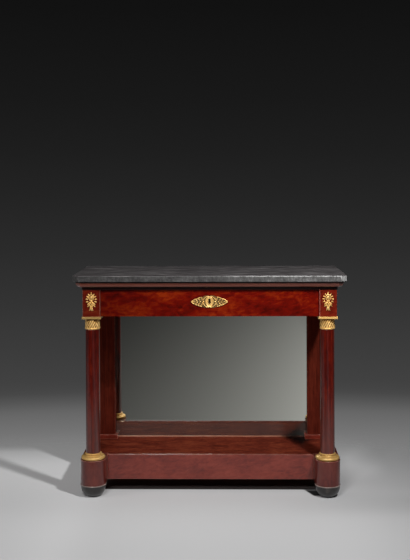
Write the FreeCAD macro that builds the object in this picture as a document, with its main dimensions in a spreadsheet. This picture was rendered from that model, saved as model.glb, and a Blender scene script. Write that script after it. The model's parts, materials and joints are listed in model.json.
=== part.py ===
import FreeCAD, Part
import math
import os
import re

import Sketcher
from FreeCAD import Placement, Rotation, Vector

# A pier table: a marble slab and a one-drawer frieze carried at the front by two columns with
# gilt mounts and at the back by two pilasters with a mirror between them, on a low plinth with
# round-ended arms and ball feet. Millimetres, +Z up, front towards -Y, origin on the floor under
# the middle of the slab.

# Driving sizes, one row of the sheet each
SIZES = [
    # Marble slab
    ("marble_width", 1096),
    ("marble_depth", 450),
    ("marble_thick", 24),
    ("marble_cant", 25),
    ("marble_arris", 3),
    ("overhang", 38),
    ("back_setback", 12),
    # Storeys, from the floor up
    ("foot_height", 50),
    ("plinth_height", 101),
    ("order_height", 581),
    ("frieze_height", 144),
    # Cornice moulding under the slab
    ("cornice_lip", 3),
    ("cornice_neck", 13),
    ("cornice_soffit", 14),
    ("cornice_ovolo", 9),
    ("cornice_ovolo_height", 18),
    ("cornice_fillet", 4),
    # Frieze frame
    ("post_size", 70),
    ("side_thick", 20),
    ("top_rail_depth", 40),
    ("back_post_width", 90),
    ("back_post_depth", 52),
    # Columns and their gilt mounts
    ("shaft_foot_radius", 29.2),
    ("shaft_head_radius", 28.2),
    ("spigot_radius", 15),
    ("spigot_depth", 35),
    ("abacus_size", 77),
    ("abacus_height", 9),
    ("capital_height", 44),
    ("capital_ring_radius", 32),
    ("capital_ring_height", 6),
    ("leaf_radius", 30),
    ("leaf_top_radius", 27),
    ("leaf_curl", 8),
    ("leaf_core_radius", 25.5),
    ("leaf_tip_drop", 3),
    ("leaf_notch_depth", 12),
    ("leaf_notch_width", 15),
    ("leaf_head_radius", 13),
    ("leaf_count", 6),
    ("base_height", 26),
    ("torus_radius", 48.5),
    ("torus_height", 14),
    ("base_ring_radius", 34),
    ("base_ring_height", 6),
    ("base_waist_radius", 31.5),
    ("scotia_rise", 4),
    ("scotia_sag", 1.2),
    # Plinth with its round-ended arms
    ("arm_radius", 51),
    ("apron_setback", 55),
    ("apron_thick", 25),
    ("plinth_rail_thick", 25),
    ("back_rail_thick", 22),
    ("shelf_thick", 18),
    ("shelf_edge", 12),
    ("glue_block", 38),
    # Feet
    ("foot_inset", 1.5),
    ("foot_contact_radius", 19),
    ("foot_belly_height", 36),
    ("foot_bowl_radius", 39),
    ("foot_collar", 4),
    ("foot_collar_reach", 1.5),
    ("foot_dowel_radius", 12),
    ("foot_dowel_length", 24),
    ("back_foot_width", 76),
    ("back_foot_depth", 60),
    ("back_foot_taper", 5),
    # Pilaster bases, mirror and its back
    ("pilaster_base_height", 18),
    ("pilaster_base_reach", 12),
    ("mirror_setback", 27),
    ("mirror_thick", 4),
    ("mirror_lap", 15),
    ("rebate_width", 12),
    ("bead_size", 5),
    ("backboard_thick", 10),
    ("backboard_count", 4),
    ("backboard_gap", 1),
    ("mirror_block_height", 60),
    ("mirror_block_pitch", 230),
    # Drawer
    ("drawer_recess", 8),
    ("drawer_gap", 1),
    ("drawer_front_thick", 22),
    ("drawer_side_thick", 12),
    ("drawer_side_lap", 10),
    ("drawer_back_thick", 11),
    ("drawer_top_drop", 5),
    ("drawer_bottom_thick", 6),
    ("drawer_bottom_rise", 6),
    ("drawer_groove", 5),
    ("dovetail_pins", 3),
    ("pin_narrow", 5),
    ("pin_wide", 10),
    ("runner_thick", 12.7),
    ("runner_width", 25),
    ("guide_height", 30),
    ("kicker_height", 22),
    ("stop_depth", 22.7),
    ("stop_width", 40),
    ("stop_height", 30),
    ("stop_place", 300),
    # Lock
    ("lock_width", 70),
    ("lock_height", 68),
    ("lock_depth", 10),
    ("lock_wall", 1.5),
    ("lock_cover_thick", 2),
    ("lock_cover_flange", 9),
    ("bolt_width", 28),
    ("bolt_height", 34),
    ("bolt_thick", 5),
    ("bolt_throw", 10),
    ("strike_thick", 1.5),
    ("strike_border", 9),
    ("keyhole_drop", 42),
    ("keyhole_radius", 4),
    ("keyhole_slot_width", 5.4),
    ("keyhole_slot_length", 13),
    ("screw_radius", 1.7),
    ("screw_head_radius", 3.6),
    ("screw_head_height", 1.4),
    ("screw_length", 9),
    # Gilt escutcheon
    ("escutcheon_half_length", 73.5),
    ("escutcheon_half_height", 23),
    ("escutcheon_thick", 2.6),
    ("escutcheon_drop", 6),
    ("scallop_outer_x", 52),
    ("scallop_outer_z", 12.5),
    ("scallop_inner_x", 28),
    ("scallop_inner_z", 19),
    ("scallop_radius", 30),
    ("piercing_radius", 3.2),
    ("piercing_one_x", 28),
    ("piercing_one_rise", 12),
    ("piercing_two_x", 41),
    ("piercing_two_rise", 6.5),
    # Gilt corner mounts, a tied spray of leaves
    ("mount_thick", 3),
    ("mount_drop", 47),
    ("spray_leaf_length", 19),
    ("spray_leaf_width", 7),
    ("spray_leaf_start", 6),
    ("spray_fan_pitch", 30),
    ("spray_fan_first", 41),
    ("spray_fan_pairs", 3),
    ("spray_flame_rise", 20),
    ("spray_bud_radius", 9),
    ("spray_bud_rise", 14),
    ("spray_relief", 5),
    ("spray_heart_radius", 9),
    ("spray_lobe_radius", 5.5),
    ("spray_lobe_spread", 5),
    ("spray_tie_drop", 11),
    ("spray_stem_width", 7),
    ("spray_stem_length", 29),
    ("spray_arm_angle", 122),
    ("spray_arm_start", 2),
    ("spray_tail_angle", 138),
    # Clearances
    ("fit_gap", 0.3),
]

# Places worked out from the driving sizes
DERIVED = {
    "shelf_top": "foot_height + plinth_height",
    "shelf_bottom": "shelf_top - shelf_thick",
    "frieze_bottom": "shelf_top + order_height",
    "slab_bottom": "frieze_bottom + frieze_height",
    "slab_front": "-marble_depth / 2",
    "carcase_back": "marble_depth / 2 - back_setback",
    "post_outer": "marble_width / 2 - overhang",
    "post_inner": "post_outer - post_size",
    "post_front": "slab_front + overhang",
    "post_back": "post_front + post_size",
    "column_x": "post_outer - post_size / 2",
    "column_y": "post_front + post_size / 2",
    "cornice_reach": "cornice_lip + cornice_soffit + cornice_ovolo",
    "cornice_height": "cornice_neck + cornice_ovolo_height + cornice_fillet",
    "ovolo_radius": "(cornice_ovolo_height ^ 2 + cornice_ovolo ^ 2) / (2 * cornice_ovolo)",
    "cornice_bottom": "slab_bottom - cornice_height",
    "cornice_cant": "marble_cant - (overhang - cornice_reach) * (2 - sqrt(2))",
    "cornice_back_cant": "cornice_cant - cornice_reach * (2 - sqrt(2))",
    "abacus_bottom": "frieze_bottom - abacus_height",
    "capital_bottom": "abacus_bottom - capital_height",
    "shaft_bottom": "shelf_top + base_height",
    "shaft_length": "capital_bottom - shaft_bottom",
    "bore_radius": "spigot_radius + fit_gap",
    "scotia_run": "torus_radius - torus_height / 2 - base_waist_radius",
    "scotia_radius": "(scotia_run ^ 2 + scotia_rise ^ 2) / (8 * scotia_sag) + scotia_sag / 2",
    "foot_radius": "arm_radius - foot_inset",
    "arm_outer": "column_x + arm_radius",
    "arm_inner": "column_x - arm_radius",
    "apron_front": "column_y + apron_setback",
    "apron_back": "apron_front + apron_thick",
    "pilaster_inner": "post_outer - back_post_width",
    "pilaster_front": "carcase_back - back_post_depth",
    "pilaster_foot": "shelf_top + pilaster_base_height",
    "mirror_front": "pilaster_front + mirror_setback",
    "mirror_back": "mirror_front + mirror_thick",
    "mirror_edge": "pilaster_inner + rebate_width - fit_gap",
    "backboard_back": "mirror_back + backboard_thick",
    "plank_width": "(2 * mirror_edge + backboard_gap) / backboard_count - backboard_gap",
    "drawer_face": "post_front + drawer_recess",
    "drawer_face_back": "drawer_face + drawer_front_thick",
    "drawer_end": "pilaster_front - stop_depth - fit_gap",
    "drawer_bottom": "frieze_bottom + drawer_gap",
    "drawer_top": "cornice_bottom - drawer_gap",
    "drawer_half": "post_inner - drawer_gap",
    "box_outer": "drawer_half",
    "box_inner": "box_outer - drawer_side_thick",
    "box_bottom": "drawer_bottom + runner_thick + fit_gap",
    "box_top": "drawer_top - drawer_top_drop + drawer_gap",
    "panel_bottom": "box_bottom + drawer_bottom_rise",
    "panel_top": "panel_bottom + drawer_bottom_thick",
    "side_front": "drawer_face_back - drawer_side_lap",
    "frieze_inner": "post_outer - side_thick",
    "runner_top": "drawer_bottom + runner_thick",
    "runner_inner": "post_inner - runner_width",
    "lock_front": "drawer_face_back - lock_depth",
    "lock_bottom": "drawer_top - lock_height",
    "lock_half": "lock_width / 2 - fit_gap",
    "lock_top": "drawer_top - fit_gap",
    "cover_half": "lock_width / 2 + lock_cover_flange",
    "cover_bottom": "lock_bottom - lock_cover_flange",
    "bolt_front": "drawer_face_back - lock_depth / 2 - bolt_thick / 2",
    "bolt_back": "bolt_front + bolt_thick",
    "bolt_bottom": "lock_top - bolt_height",
    "keyhole_z": "drawer_top - keyhole_drop",
    "escutcheon_z": "keyhole_z - escutcheon_drop",
    "mount_z": "cornice_bottom - mount_drop",
}

doc = FreeCAD.newDocument("pier_table")
sheet = doc.addObject("Spreadsheet::Sheet", "Sizes")
for row, (alias, number) in enumerate(SIZES, 1):
    sheet.set(f"A{row}", alias)
    sheet.set(f"B{row}", str(number))
    sheet.setAlias(f"B{row}", alias)
doc.recompute()

gauge = doc.addObject("App::FeaturePython", "Gauge")
ALIASES = {alias for alias, number in SIZES}
MIRROR_BLOCKS_A_SIDE = 3
NODES = []


def expand(text):
    """An expression written out in the sheet's own cells."""
    def cell(match):
        word = match.group()
        if word in DERIVED:
            return f"({expand(DERIVED[word])})"
        return f"Sizes.{word}" if word in ALIASES else word
    return re.sub(r"[a-z][a-z_]*", cell, text)


def size(text):
    """The number that an expression comes to now."""
    return float(gauge.evalExpression(expand(text)))


def bind(thing, prop, text):
    thing.setExpression(prop, expand(text))


def place(thing, x="0", y="0", z="0"):
    for axis, text in zip("xyz", (x, y, z)):
        bind(thing, f"Placement.Base.{axis}", text)
    return thing


def node(name, thing):
    """Name a finished sub-part."""
    thing.Label = name
    NODES.append(thing)
    return thing


# Plain solids and booleans

def board(x, y, z):
    """A plain board between a low and a high face on each axis."""
    box = doc.addObject("Part::Box", "Board")
    for side, (low, high) in zip(("Length", "Width", "Height"), (x, y, z)):
        bind(box, side, f"({high}) - ({low})")
    return place(box, x[0], y[0], z[0])


def across(half):
    """A span centred on the table."""
    return (f"-({half})", half)


def rod(x, y, low, high, radius):
    """An upright round bar or bore."""
    bar = doc.addObject("Part::Cylinder", "Rod")
    bind(bar, "Radius", radius)
    bind(bar, "Height", f"({high}) - ({low})")
    return place(bar, x, y, low)


def cross_rod(x, z, front, back, radius):
    """A round bar or bore that runs from front to back."""
    bar = doc.addObject("Part::Cylinder", "CrossRod")
    bar.Placement = Placement(Vector(), Rotation(Vector(1, 0, 0), -90))
    bind(bar, "Radius", radius)
    bind(bar, "Height", f"({back}) - ({front})")
    return place(bar, x, front, z)


def fuse(*solids):
    joined = doc.addObject("Part::MultiFuse", "Fuse")
    joined.Shapes = list(solids)
    return joined


def group(*solids):
    """Separate solids that share one node."""
    together = doc.addObject("Part::Compound", "Group")
    together.Links = list(solids)
    return together


def cut(base, *tools):
    result = doc.addObject("Part::Cut", "Cut")
    result.Base = base
    result.Tool = tools[0] if len(tools) == 1 else fuse(*tools)
    return result


def common(first, second):
    result = doc.addObject("Part::Common", "Common")
    result.Base = first
    result.Tool = second
    return result


def mirrored(source):
    """The same solid on the left half of the table."""
    twin = doc.addObject("Part::Mirroring", "Mirror")
    twin.Source = source
    twin.Normal = Vector(1, 0, 0)
    return twin


def pair(name, right):
    """A right-hand sub-part and its left-hand twin."""
    node(f"{name}_left", mirrored(right))
    return node(f"{name}_right", right)


# Sketched solids

def origin_feature(body, role):
    """One of the body's own planes or axes."""
    return next(feature for feature in body.Origin.OriginFeatures if feature.Role == role)


def sketch(body, plane, points, offset="0"):
    """A closed outline whose corners are bound to the sheet.

    Each point is (across, up), with a third entry where a round stretch arrives at it: the
    radius, and a minus sign in front where that stretch turns clockwise.
    """
    drawn = body.newObject("Sketcher::SketchObject", "Outline")
    drawn.AttachmentSupport = [(origin_feature(body, plane), "")]
    drawn.MapMode = "FlatFace"
    bind(drawn, "AttachmentOffset.Base.z", offset)
    corners = [Vector(size(point[0]), size(point[1]), 0) for point in points]
    heads, tails = [], []
    for index, point in enumerate(points):
        start, end = corners[index - 1], corners[index]
        if len(point) == 2:
            edge = drawn.addGeometry(Part.LineSegment(start, end))
            first, last = 1, 2
        else:
            clockwise = point[2].startswith("-")
            if clockwise:
                start, end = end, start
            radius = size(point[2].lstrip("-"))
            edge = drawn.addGeometry(minor_arc(start, end, radius))
            first, last = (2, 1) if clockwise else (1, 2)
            limit = drawn.addConstraint(Sketcher.Constraint("Radius", edge, radius))
            bind(drawn, f"Constraints[{limit}]", point[2].lstrip("-"))
        heads.append((edge, first))
        tails.append((edge, last))
    for index, point in enumerate(points):
        following = heads[(index + 1) % len(points)]
        drawn.addConstraint(Sketcher.Constraint("Coincident", *tails[index], *following))
        for way, text in zip(("DistanceX", "DistanceY"), point[:2]):
            datum = Sketcher.Constraint(way, -1, 1, *tails[index], size(text))
            limit = drawn.addConstraint(datum)
            bind(drawn, f"Constraints[{limit}]", text)
    return drawn


def minor_arc(start, end, radius):
    """The short arc that turns anticlockwise from start to end."""
    chord = end - start
    half = chord.Length / 2
    left = Vector(-chord.y, chord.x, 0).normalize()
    centre = (start + end) / 2 + left * math.sqrt(max(radius ** 2 - half ** 2, 0))
    angles = [math.atan2(spot.y - centre.y, spot.x - centre.x) for spot in (start, end)]
    return Part.ArcOfCircle(Part.Circle(centre, Vector(0, 0, 1), radius), *angles)


def turned(points):
    """A lathe-turned body; points are (radius, height)."""
    body = doc.addObject("PartDesign::Body", "Turned")
    profile = sketch(body, "XZ_Plane", points)
    spin = body.newObject("PartDesign::Revolution", "Spin")
    spin.Profile = profile
    spin.ReferenceAxis = (profile, ["V_Axis"])
    spin.Angle = 360
    return body


def padded(plane, points, length, offset="0", midplane=False):
    """A body of one section pushed out square to its plane."""
    body = doc.addObject("PartDesign::Body", "Padded")
    profile = sketch(body, plane, points, offset)
    pad = body.newObject("PartDesign::Pad", "Pad")
    pad.Profile = profile
    pad.Midplane = midplane
    bind(pad, "Length", length)
    return body


# Marble slab with canted front corners and an eased top arris

def marble_slab():
    half, front, back = "marble_width / 2", "slab_front", "-slab_front"
    outline = [
        (f"-({half})", back),
        (f"-({half})", f"{front} + marble_cant"),
        (f"marble_cant - {half}", front),
        (f"{half} - marble_cant", front),
        (half, f"{front} + marble_cant"),
        (half, back),
    ]
    body = padded("XY_Plane", outline, "marble_thick")
    doc.recompute()
    pad = body.Tip
    tops = [i for i, face in enumerate(pad.Shape.Faces, 1) if face.normalAt(0, 0).z > 0.9]
    easing = body.newObject("PartDesign::Fillet", "Arris")
    easing.Base = (pad, [f"Face{tops[0]}"])
    bind(easing, "Radius", "marble_arris")
    return place(body, z="slab_bottom")


# Cornice: fillet and ovolo over a deep soffit and a neck, mitred round the canted corners

def moulding(length):
    """A straight run along X, its back on the plane of the frieze."""
    profile = [
        ("0", "0"),
        ("0", "cornice_height"),
        ("-cornice_reach", "cornice_height"),
        ("-cornice_reach", "cornice_height - cornice_fillet"),
        ("cornice_ovolo - cornice_reach", "cornice_neck", "ovolo_radius"),
        ("-cornice_lip", "cornice_neck"),
        ("-cornice_lip", "0"),
    ]
    return padded("YZ_Plane", profile, length, midplane=True)


def mitred(run, plan):
    """A run cut to its plan between two mitres."""
    prism = padded("XY_Plane", plan, "frieze_height")
    return common(run, place(prism, z="cornice_bottom"))


def cornice():
    outer_x, outer_y = "post_outer + cornice_reach", "post_front - cornice_reach"
    front_end = f"{outer_x} - cornice_cant", outer_y
    front_end_back = "post_outer - cornice_back_cant", "post_front"
    side_end = outer_x, f"{outer_y} + cornice_cant"
    side_end_back = "post_outer", "post_front + cornice_back_cant"
    front = place(moulding("marble_width"), y="post_front", z="cornice_bottom")
    front_plan = [
        (f"-({front_end_back[0]})", front_end_back[1]),
        (f"-({front_end[0]})", front_end[1]),
        front_end,
        front_end_back,
    ]
    node("cornice_front", mitred(front, front_plan))
    side = moulding("2 * marble_depth")
    side.Placement = Placement(Vector(), Rotation(Vector(0, 0, 1), 90))
    place(side, x="post_outer", z="cornice_bottom")
    side_plan = [side_end_back, side_end, (outer_x, "carcase_back"), ("post_outer", "carcase_back")]
    cant = moulding("marble_width")
    cant.Placement = Placement(Vector(), Rotation(Vector(0, 0, 1), 45))
    place(cant, "post_outer - cornice_back_cant", "post_front", "cornice_bottom")
    cant_plan = [front_end_back, front_end, side_end, side_end_back]
    corner = fuse(mitred(side, side_plan), mitred(cant, cant_plan))
    pair("cornice", cut(corner, front_post_blank()))


# Frieze frame: corner posts, sides, rails and the drawer's runners

def front_post_blank():
    return board(("post_inner", "post_outer"), ("post_front", "post_back"),
                 ("frieze_bottom", "slab_bottom"))


def frieze_frame():
    socket = rod("column_x", "column_y", "frieze_bottom",
                 "frieze_bottom + spigot_depth + fit_gap", "bore_radius")
    pair("front_post", cut(front_post_blank(), socket))
    post = board(("pilaster_inner", "post_outer"), ("pilaster_front", "carcase_back"),
                 ("pilaster_foot", "slab_bottom"))
    rebate = mirror_rebate("pilaster_inner", "pilaster_foot", "slab_bottom")
    pair("back_post", cut(post, rebate))
    height = ("frieze_bottom", "slab_bottom")
    pair("frieze_side", board(("frieze_inner", "post_outer"), ("post_back", "pilaster_front"),
                              height))
    node("frieze_back_rail", board(across("pilaster_inner"), ("pilaster_front", "mirror_front"),
                                   height))
    rail = board(across("post_inner"), ("post_front", "post_front + top_rail_depth"),
                 ("cornice_bottom", "slab_bottom"))
    bed = board(across("bolt_width / 2 + strike_border"),
                ("bolt_front - strike_border", "bolt_back + strike_border"),
                ("cornice_bottom", "cornice_bottom + strike_thick"))
    mortise = bolt_slot("cornice_bottom", "cornice_bottom + bolt_throw + strike_thick")
    node("front_top_rail", cut(rail, bed, mortise))


def bolt_slot(low, high):
    """The bolt's section with its running clearance."""
    return board(across("bolt_width / 2 + fit_gap"),
                 ("bolt_front - fit_gap", "bolt_back + fit_gap"), (low, high))


def drawer_carriage():
    runner_plan = [
        ("runner_inner", "drawer_face_back + drawer_gap"),
        ("post_inner", "drawer_face_back + drawer_gap"),
        ("post_inner", "post_back"),
        ("frieze_inner", "post_back"),
        ("frieze_inner", "pilaster_front"),
        ("runner_inner", "pilaster_front"),
    ]
    runner = padded("XY_Plane", runner_plan, "runner_thick")
    pair("drawer_runner", place(runner, z="drawer_bottom"))
    length = ("post_back", "pilaster_front")
    guided = ("box_outer + fit_gap", "frieze_inner")
    pair("drawer_guide", board(guided, length, ("runner_top", "runner_top + guide_height")))
    pair("drawer_kicker", board(("runner_inner", "frieze_inner"), length,
                                ("box_top + fit_gap", "box_top + fit_gap + kicker_height")))
    stop = board(("stop_place", "stop_place + stop_width"),
                 ("drawer_end + fit_gap", "pilaster_front"),
                 ("panel_top + drawer_gap", "panel_top + drawer_gap + stop_height"))
    node("drawer_stops", group(stop, mirrored(stop)))


# Columns: shaft with two spigots, leaf capital, abacus and moulded base

def column():
    foot = "base_height + spigot_depth"
    head = "shaft_length + capital_height + abacus_height + spigot_depth"
    shaft = turned([
        ("0", f"-({foot})"),
        ("spigot_radius", f"-({foot})"),
        ("spigot_radius", "0"),
        ("shaft_foot_radius", "0"),
        ("shaft_head_radius", "shaft_length"),
        ("spigot_radius", "shaft_length"),
        ("spigot_radius", head),
        ("0", head),
    ])
    pair("column", place(shaft, "column_x", "column_y", "shaft_bottom"))


def capital():
    """A bell of broad leaves over an astragal ring."""
    bead = "capital_ring_height / 2"
    ring_inside = f"capital_ring_radius - {bead}"
    shoulder = "capital_height - leaf_tip_drop - leaf_curl"
    body = turned([
        ("bore_radius", "0"),
        (ring_inside, "0"),
        ("capital_ring_radius", bead, bead),
        (ring_inside, "capital_ring_height", bead),
        ("leaf_radius", shoulder),
        ("leaf_top_radius", "capital_height - leaf_tip_drop", "leaf_curl"),
        ("leaf_core_radius", "capital_height - leaf_tip_drop"),
        ("leaf_core_radius", "capital_height"),
        ("bore_radius", "capital_height"),
    ])
    notch_foot = "capital_height - leaf_tip_drop - leaf_notch_depth"
    notch = sketch(body, "XZ_Plane", [
        ("0", notch_foot, "-leaf_head_radius"),
        ("leaf_notch_width / 2", "capital_height - leaf_tip_drop", "-leaf_head_radius"),
        ("-leaf_notch_width / 2", "capital_height - leaf_tip_drop"),
    ], "leaf_core_radius")
    valley = body.newObject("PartDesign::Pocket", "Valley")
    valley.Profile = notch
    valley.Reversed = True
    bind(valley, "Length", "leaf_radius")
    ring = body.newObject("PartDesign::PolarPattern", "Leaves")
    ring.Originals = [valley]
    ring.Axis = (origin_feature(body, "Z_Axis"), [""])
    bind(ring, "Occurrences", "leaf_count")
    body.Tip = ring
    bind(body, "Placement.Rotation.Angle", "180 / leaf_count")
    return pair("capital", place(body, "column_x", "column_y", "capital_bottom"))


def column_mounts():
    half = "abacus_size / 2"
    plate = board((f"column_x - {half}", f"column_x + {half}"),
                  (f"column_y - {half}", f"column_y + {half}"),
                  ("abacus_bottom", "frieze_bottom"))
    bore = rod("column_x", "column_y", "abacus_bottom", "frieze_bottom", "bore_radius")
    pair("abacus", cut(plate, bore))
    round_torus = "torus_height / 2"
    round_ring = "base_ring_height / 2"
    torus_inside = f"torus_radius - {round_torus}"
    ring_inside = f"base_ring_radius - {round_ring}"
    foot = turned([
        ("bore_radius", "0"),
        (torus_inside, "0"),
        ("torus_radius", round_torus, round_torus),
        (torus_inside, "torus_height", round_torus),
        ("base_waist_radius", "torus_height + scotia_rise", "-scotia_radius"),
        ("base_waist_radius", "base_height - base_ring_height"),
        (ring_inside, "base_height - base_ring_height"),
        ("base_ring_radius", f"base_height - {round_ring}", round_ring),
        (ring_inside, "base_height", round_ring),
        ("bore_radius", "base_height"),
    ])
    pair("column_base", place(foot, "column_x", "column_y", "shelf_top"))


# Plinth: round-ended arms, apron, rails and the shelf

def plinth():
    length = "apron_back - column_y"
    outline = [
        ("arm_radius", "0", "arm_radius"),
        ("arm_radius", length),
        ("-arm_radius", length),
        ("-arm_radius", "0"),
        ("0", "-arm_radius", "arm_radius"),
    ]
    arm = place(padded("XY_Plane", outline, "plinth_height"), "column_x", "column_y", "foot_height")
    socket = rod("column_x", "column_y", "shelf_top - spigot_depth - fit_gap", "shelf_top",
                 "bore_radius")
    dowel_hole = rod("column_x", "column_y", "foot_height",
                     "foot_height + foot_dowel_length + fit_gap", "foot_dowel_radius + fit_gap")
    pair("plinth_arm", cut(arm, socket, dowel_hole))
    height = ("foot_height", "shelf_top")
    bed = ("shelf_bottom", "shelf_top")
    apron = board(across("arm_inner"), ("apron_front", "apron_back"), height)
    shelf_bed = board(across("arm_inner"), ("apron_front + shelf_edge", "apron_back"), bed)
    node("plinth_front_rail", cut(apron, shelf_bed))
    rail = board(("arm_outer - plinth_rail_thick", "arm_outer"), ("apron_back", "carcase_back"),
                 height)
    side_bed = board(("arm_outer - plinth_rail_thick", "arm_outer - shelf_edge"),
                     ("apron_back", "carcase_back"), bed)
    pair("plinth_side_rail", cut(rail, side_bed))
    node("plinth_back_rail", board(across("arm_outer - plinth_rail_thick"),
                                   ("carcase_back - back_rail_thick", "carcase_back"),
                                   ("foot_height", "shelf_bottom")))
    wide, narrow = "arm_outer - shelf_edge", "arm_inner"
    shelf = padded("XY_Plane", [
        (narrow, "apron_front + shelf_edge"),
        (narrow, "apron_back"),
        (wide, "apron_back"),
        (wide, "carcase_back"),
        (f"-({wide})", "carcase_back"),
        (f"-({wide})", "apron_back"),
        (f"-({narrow})", "apron_back"),
        (f"-({narrow})", "apron_front + shelf_edge"),
    ], "shelf_thick")
    node("shelf_board", place(shelf, z="shelf_bottom"))
    triangle = [("0", "0"), ("0", "glue_block"), ("-glue_block", "0")]
    front_block = padded("XY_Plane", triangle, "shelf_bottom - foot_height - glue_block / 2")
    place(front_block, "arm_outer - plinth_rail_thick", "apron_back",
          "foot_height + glue_block / 2")
    turned_triangle = [("0", "0"), ("-glue_block", "0"), ("0", "-glue_block")]
    back_block = padded("XY_Plane", turned_triangle,
                        "shelf_bottom - foot_height - glue_block / 2")
    place(back_block, "arm_outer - plinth_rail_thick", "carcase_back - back_rail_thick",
          "foot_height + glue_block / 2")
    node("glue_blocks", group(front_block, back_block, mirrored(front_block),
                              mirrored(back_block)))


def feet():
    shoulder = "foot_height - foot_collar"
    collar = "(arm_radius + foot_collar_reach)"
    bead = "foot_collar / 2"
    ball = turned([
        ("0", "0"),
        ("foot_contact_radius", "0"),
        ("foot_radius", "foot_belly_height", "foot_bowl_radius"),
        ("foot_radius", shoulder),
        (f"{collar} - {bead}", shoulder),
        (collar, f"{shoulder} + {bead}", bead),
        (f"{collar} - {bead}", "foot_height", bead),
        ("foot_dowel_radius", "foot_height"),
        ("foot_dowel_radius", "foot_height + foot_dowel_length"),
        ("0", "foot_height + foot_dowel_length"),
    ])
    pair("front_foot", place(ball, "column_x", "column_y"))
    outer, back = "arm_outer", "carcase_back"
    block = padded("XY_Plane", [
        (f"{outer} - back_foot_width", f"{back} - back_foot_depth"),
        (outer, f"{back} - back_foot_depth"),
        (outer, back),
        (f"{outer} - back_foot_width", back),
    ], "foot_height")
    block.Tip.Reversed = True
    bind(block.Tip, "TaperAngle", "-back_foot_taper")
    pair("back_foot", place(block, z="foot_height"))


# Back: pilaster bases, mirror, bead and back boards

def mirror_rebate(inner, low, high):
    """The step behind a pilaster that takes the edge of the mirror and its boards."""
    return board((inner, "pilaster_inner + rebate_width"), ("mirror_front", "carcase_back"),
                 (low, high))


def mirror_back():
    base_inner = "pilaster_inner - pilaster_base_reach"
    base = board((base_inner, "post_outer"),
                 ("pilaster_front - pilaster_base_reach", "carcase_back"),
                 ("shelf_top", "pilaster_foot"))
    pair("pilaster_base", cut(base, mirror_rebate(base_inner, "shelf_top", "pilaster_foot")))
    node("mirror_plate", board(across("mirror_edge"), ("mirror_front", "mirror_back"),
                               ("shelf_top", "frieze_bottom + mirror_lap")))
    bead = padded("YZ_Plane", [
        ("0", "0"),
        ("0", "bead_size"),
        ("-bead_size", "0", "bead_size"),
    ], f"2 * ({base_inner})", midplane=True)
    node("mirror_bead", place(bead, y="mirror_front", z="shelf_top"))
    planks = []
    for index in range(round(size("backboard_count"))):
        left = f"-mirror_edge + {index} * (plank_width + backboard_gap)"
        planks.append(board((left, f"{left} + plank_width"), ("mirror_back", "backboard_back"),
                            ("shelf_top", "slab_bottom")))
    node("back_boards", group(*planks))
    blocks = []
    for index in range(MIRROR_BLOCKS_A_SIDE):
        low = f"pilaster_foot + mirror_block_height + {index} * mirror_block_pitch"
        block = board(("pilaster_inner", "pilaster_inner + rebate_width"),
                      ("backboard_back", "carcase_back"), (low, f"{low} + mirror_block_height"))
        blocks += [block, mirrored(block)]
    node("mirror_blocks", group(*blocks))


# Drawer

def keyhole(front, back):
    """A round head over a slot."""
    head = cross_rod("0", "keyhole_z", front, back, "keyhole_radius")
    slot = board(across("keyhole_slot_width / 2"), (front, back),
                 ("keyhole_z - keyhole_slot_length", "keyhole_z"))
    return fuse(head, slot)


def screw_places():
    """The middles of the four screws of the lock's cover."""
    x = "cover_half - lock_cover_flange / 2"
    low = "cover_bottom + lock_cover_flange / 2"
    high = "keyhole_z + keyhole_drop / 2"
    return [(f"{sign}({x})", z) for sign in ("", "-") for z in (low, high)]


def dovetails(bottom, top, narrow_end, wide_end):
    """Wedge-shaped pins through the thickness of a drawer side."""
    pins = []
    for index in range(1, round(size("dovetail_pins")) + 1):
        middle = f"{bottom} + {index} * ({top} - ({bottom})) / (dovetail_pins + 1)"
        pins.append(padded("YZ_Plane", [
            (narrow_end, f"{middle} - pin_narrow / 2"),
            (wide_end, f"{middle} - pin_wide / 2"),
            (wide_end, f"{middle} + pin_wide / 2"),
            (narrow_end, f"{middle} + pin_narrow / 2"),
        ], "drawer_side_thick", "box_inner"))
    return fuse(*pins)


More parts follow.
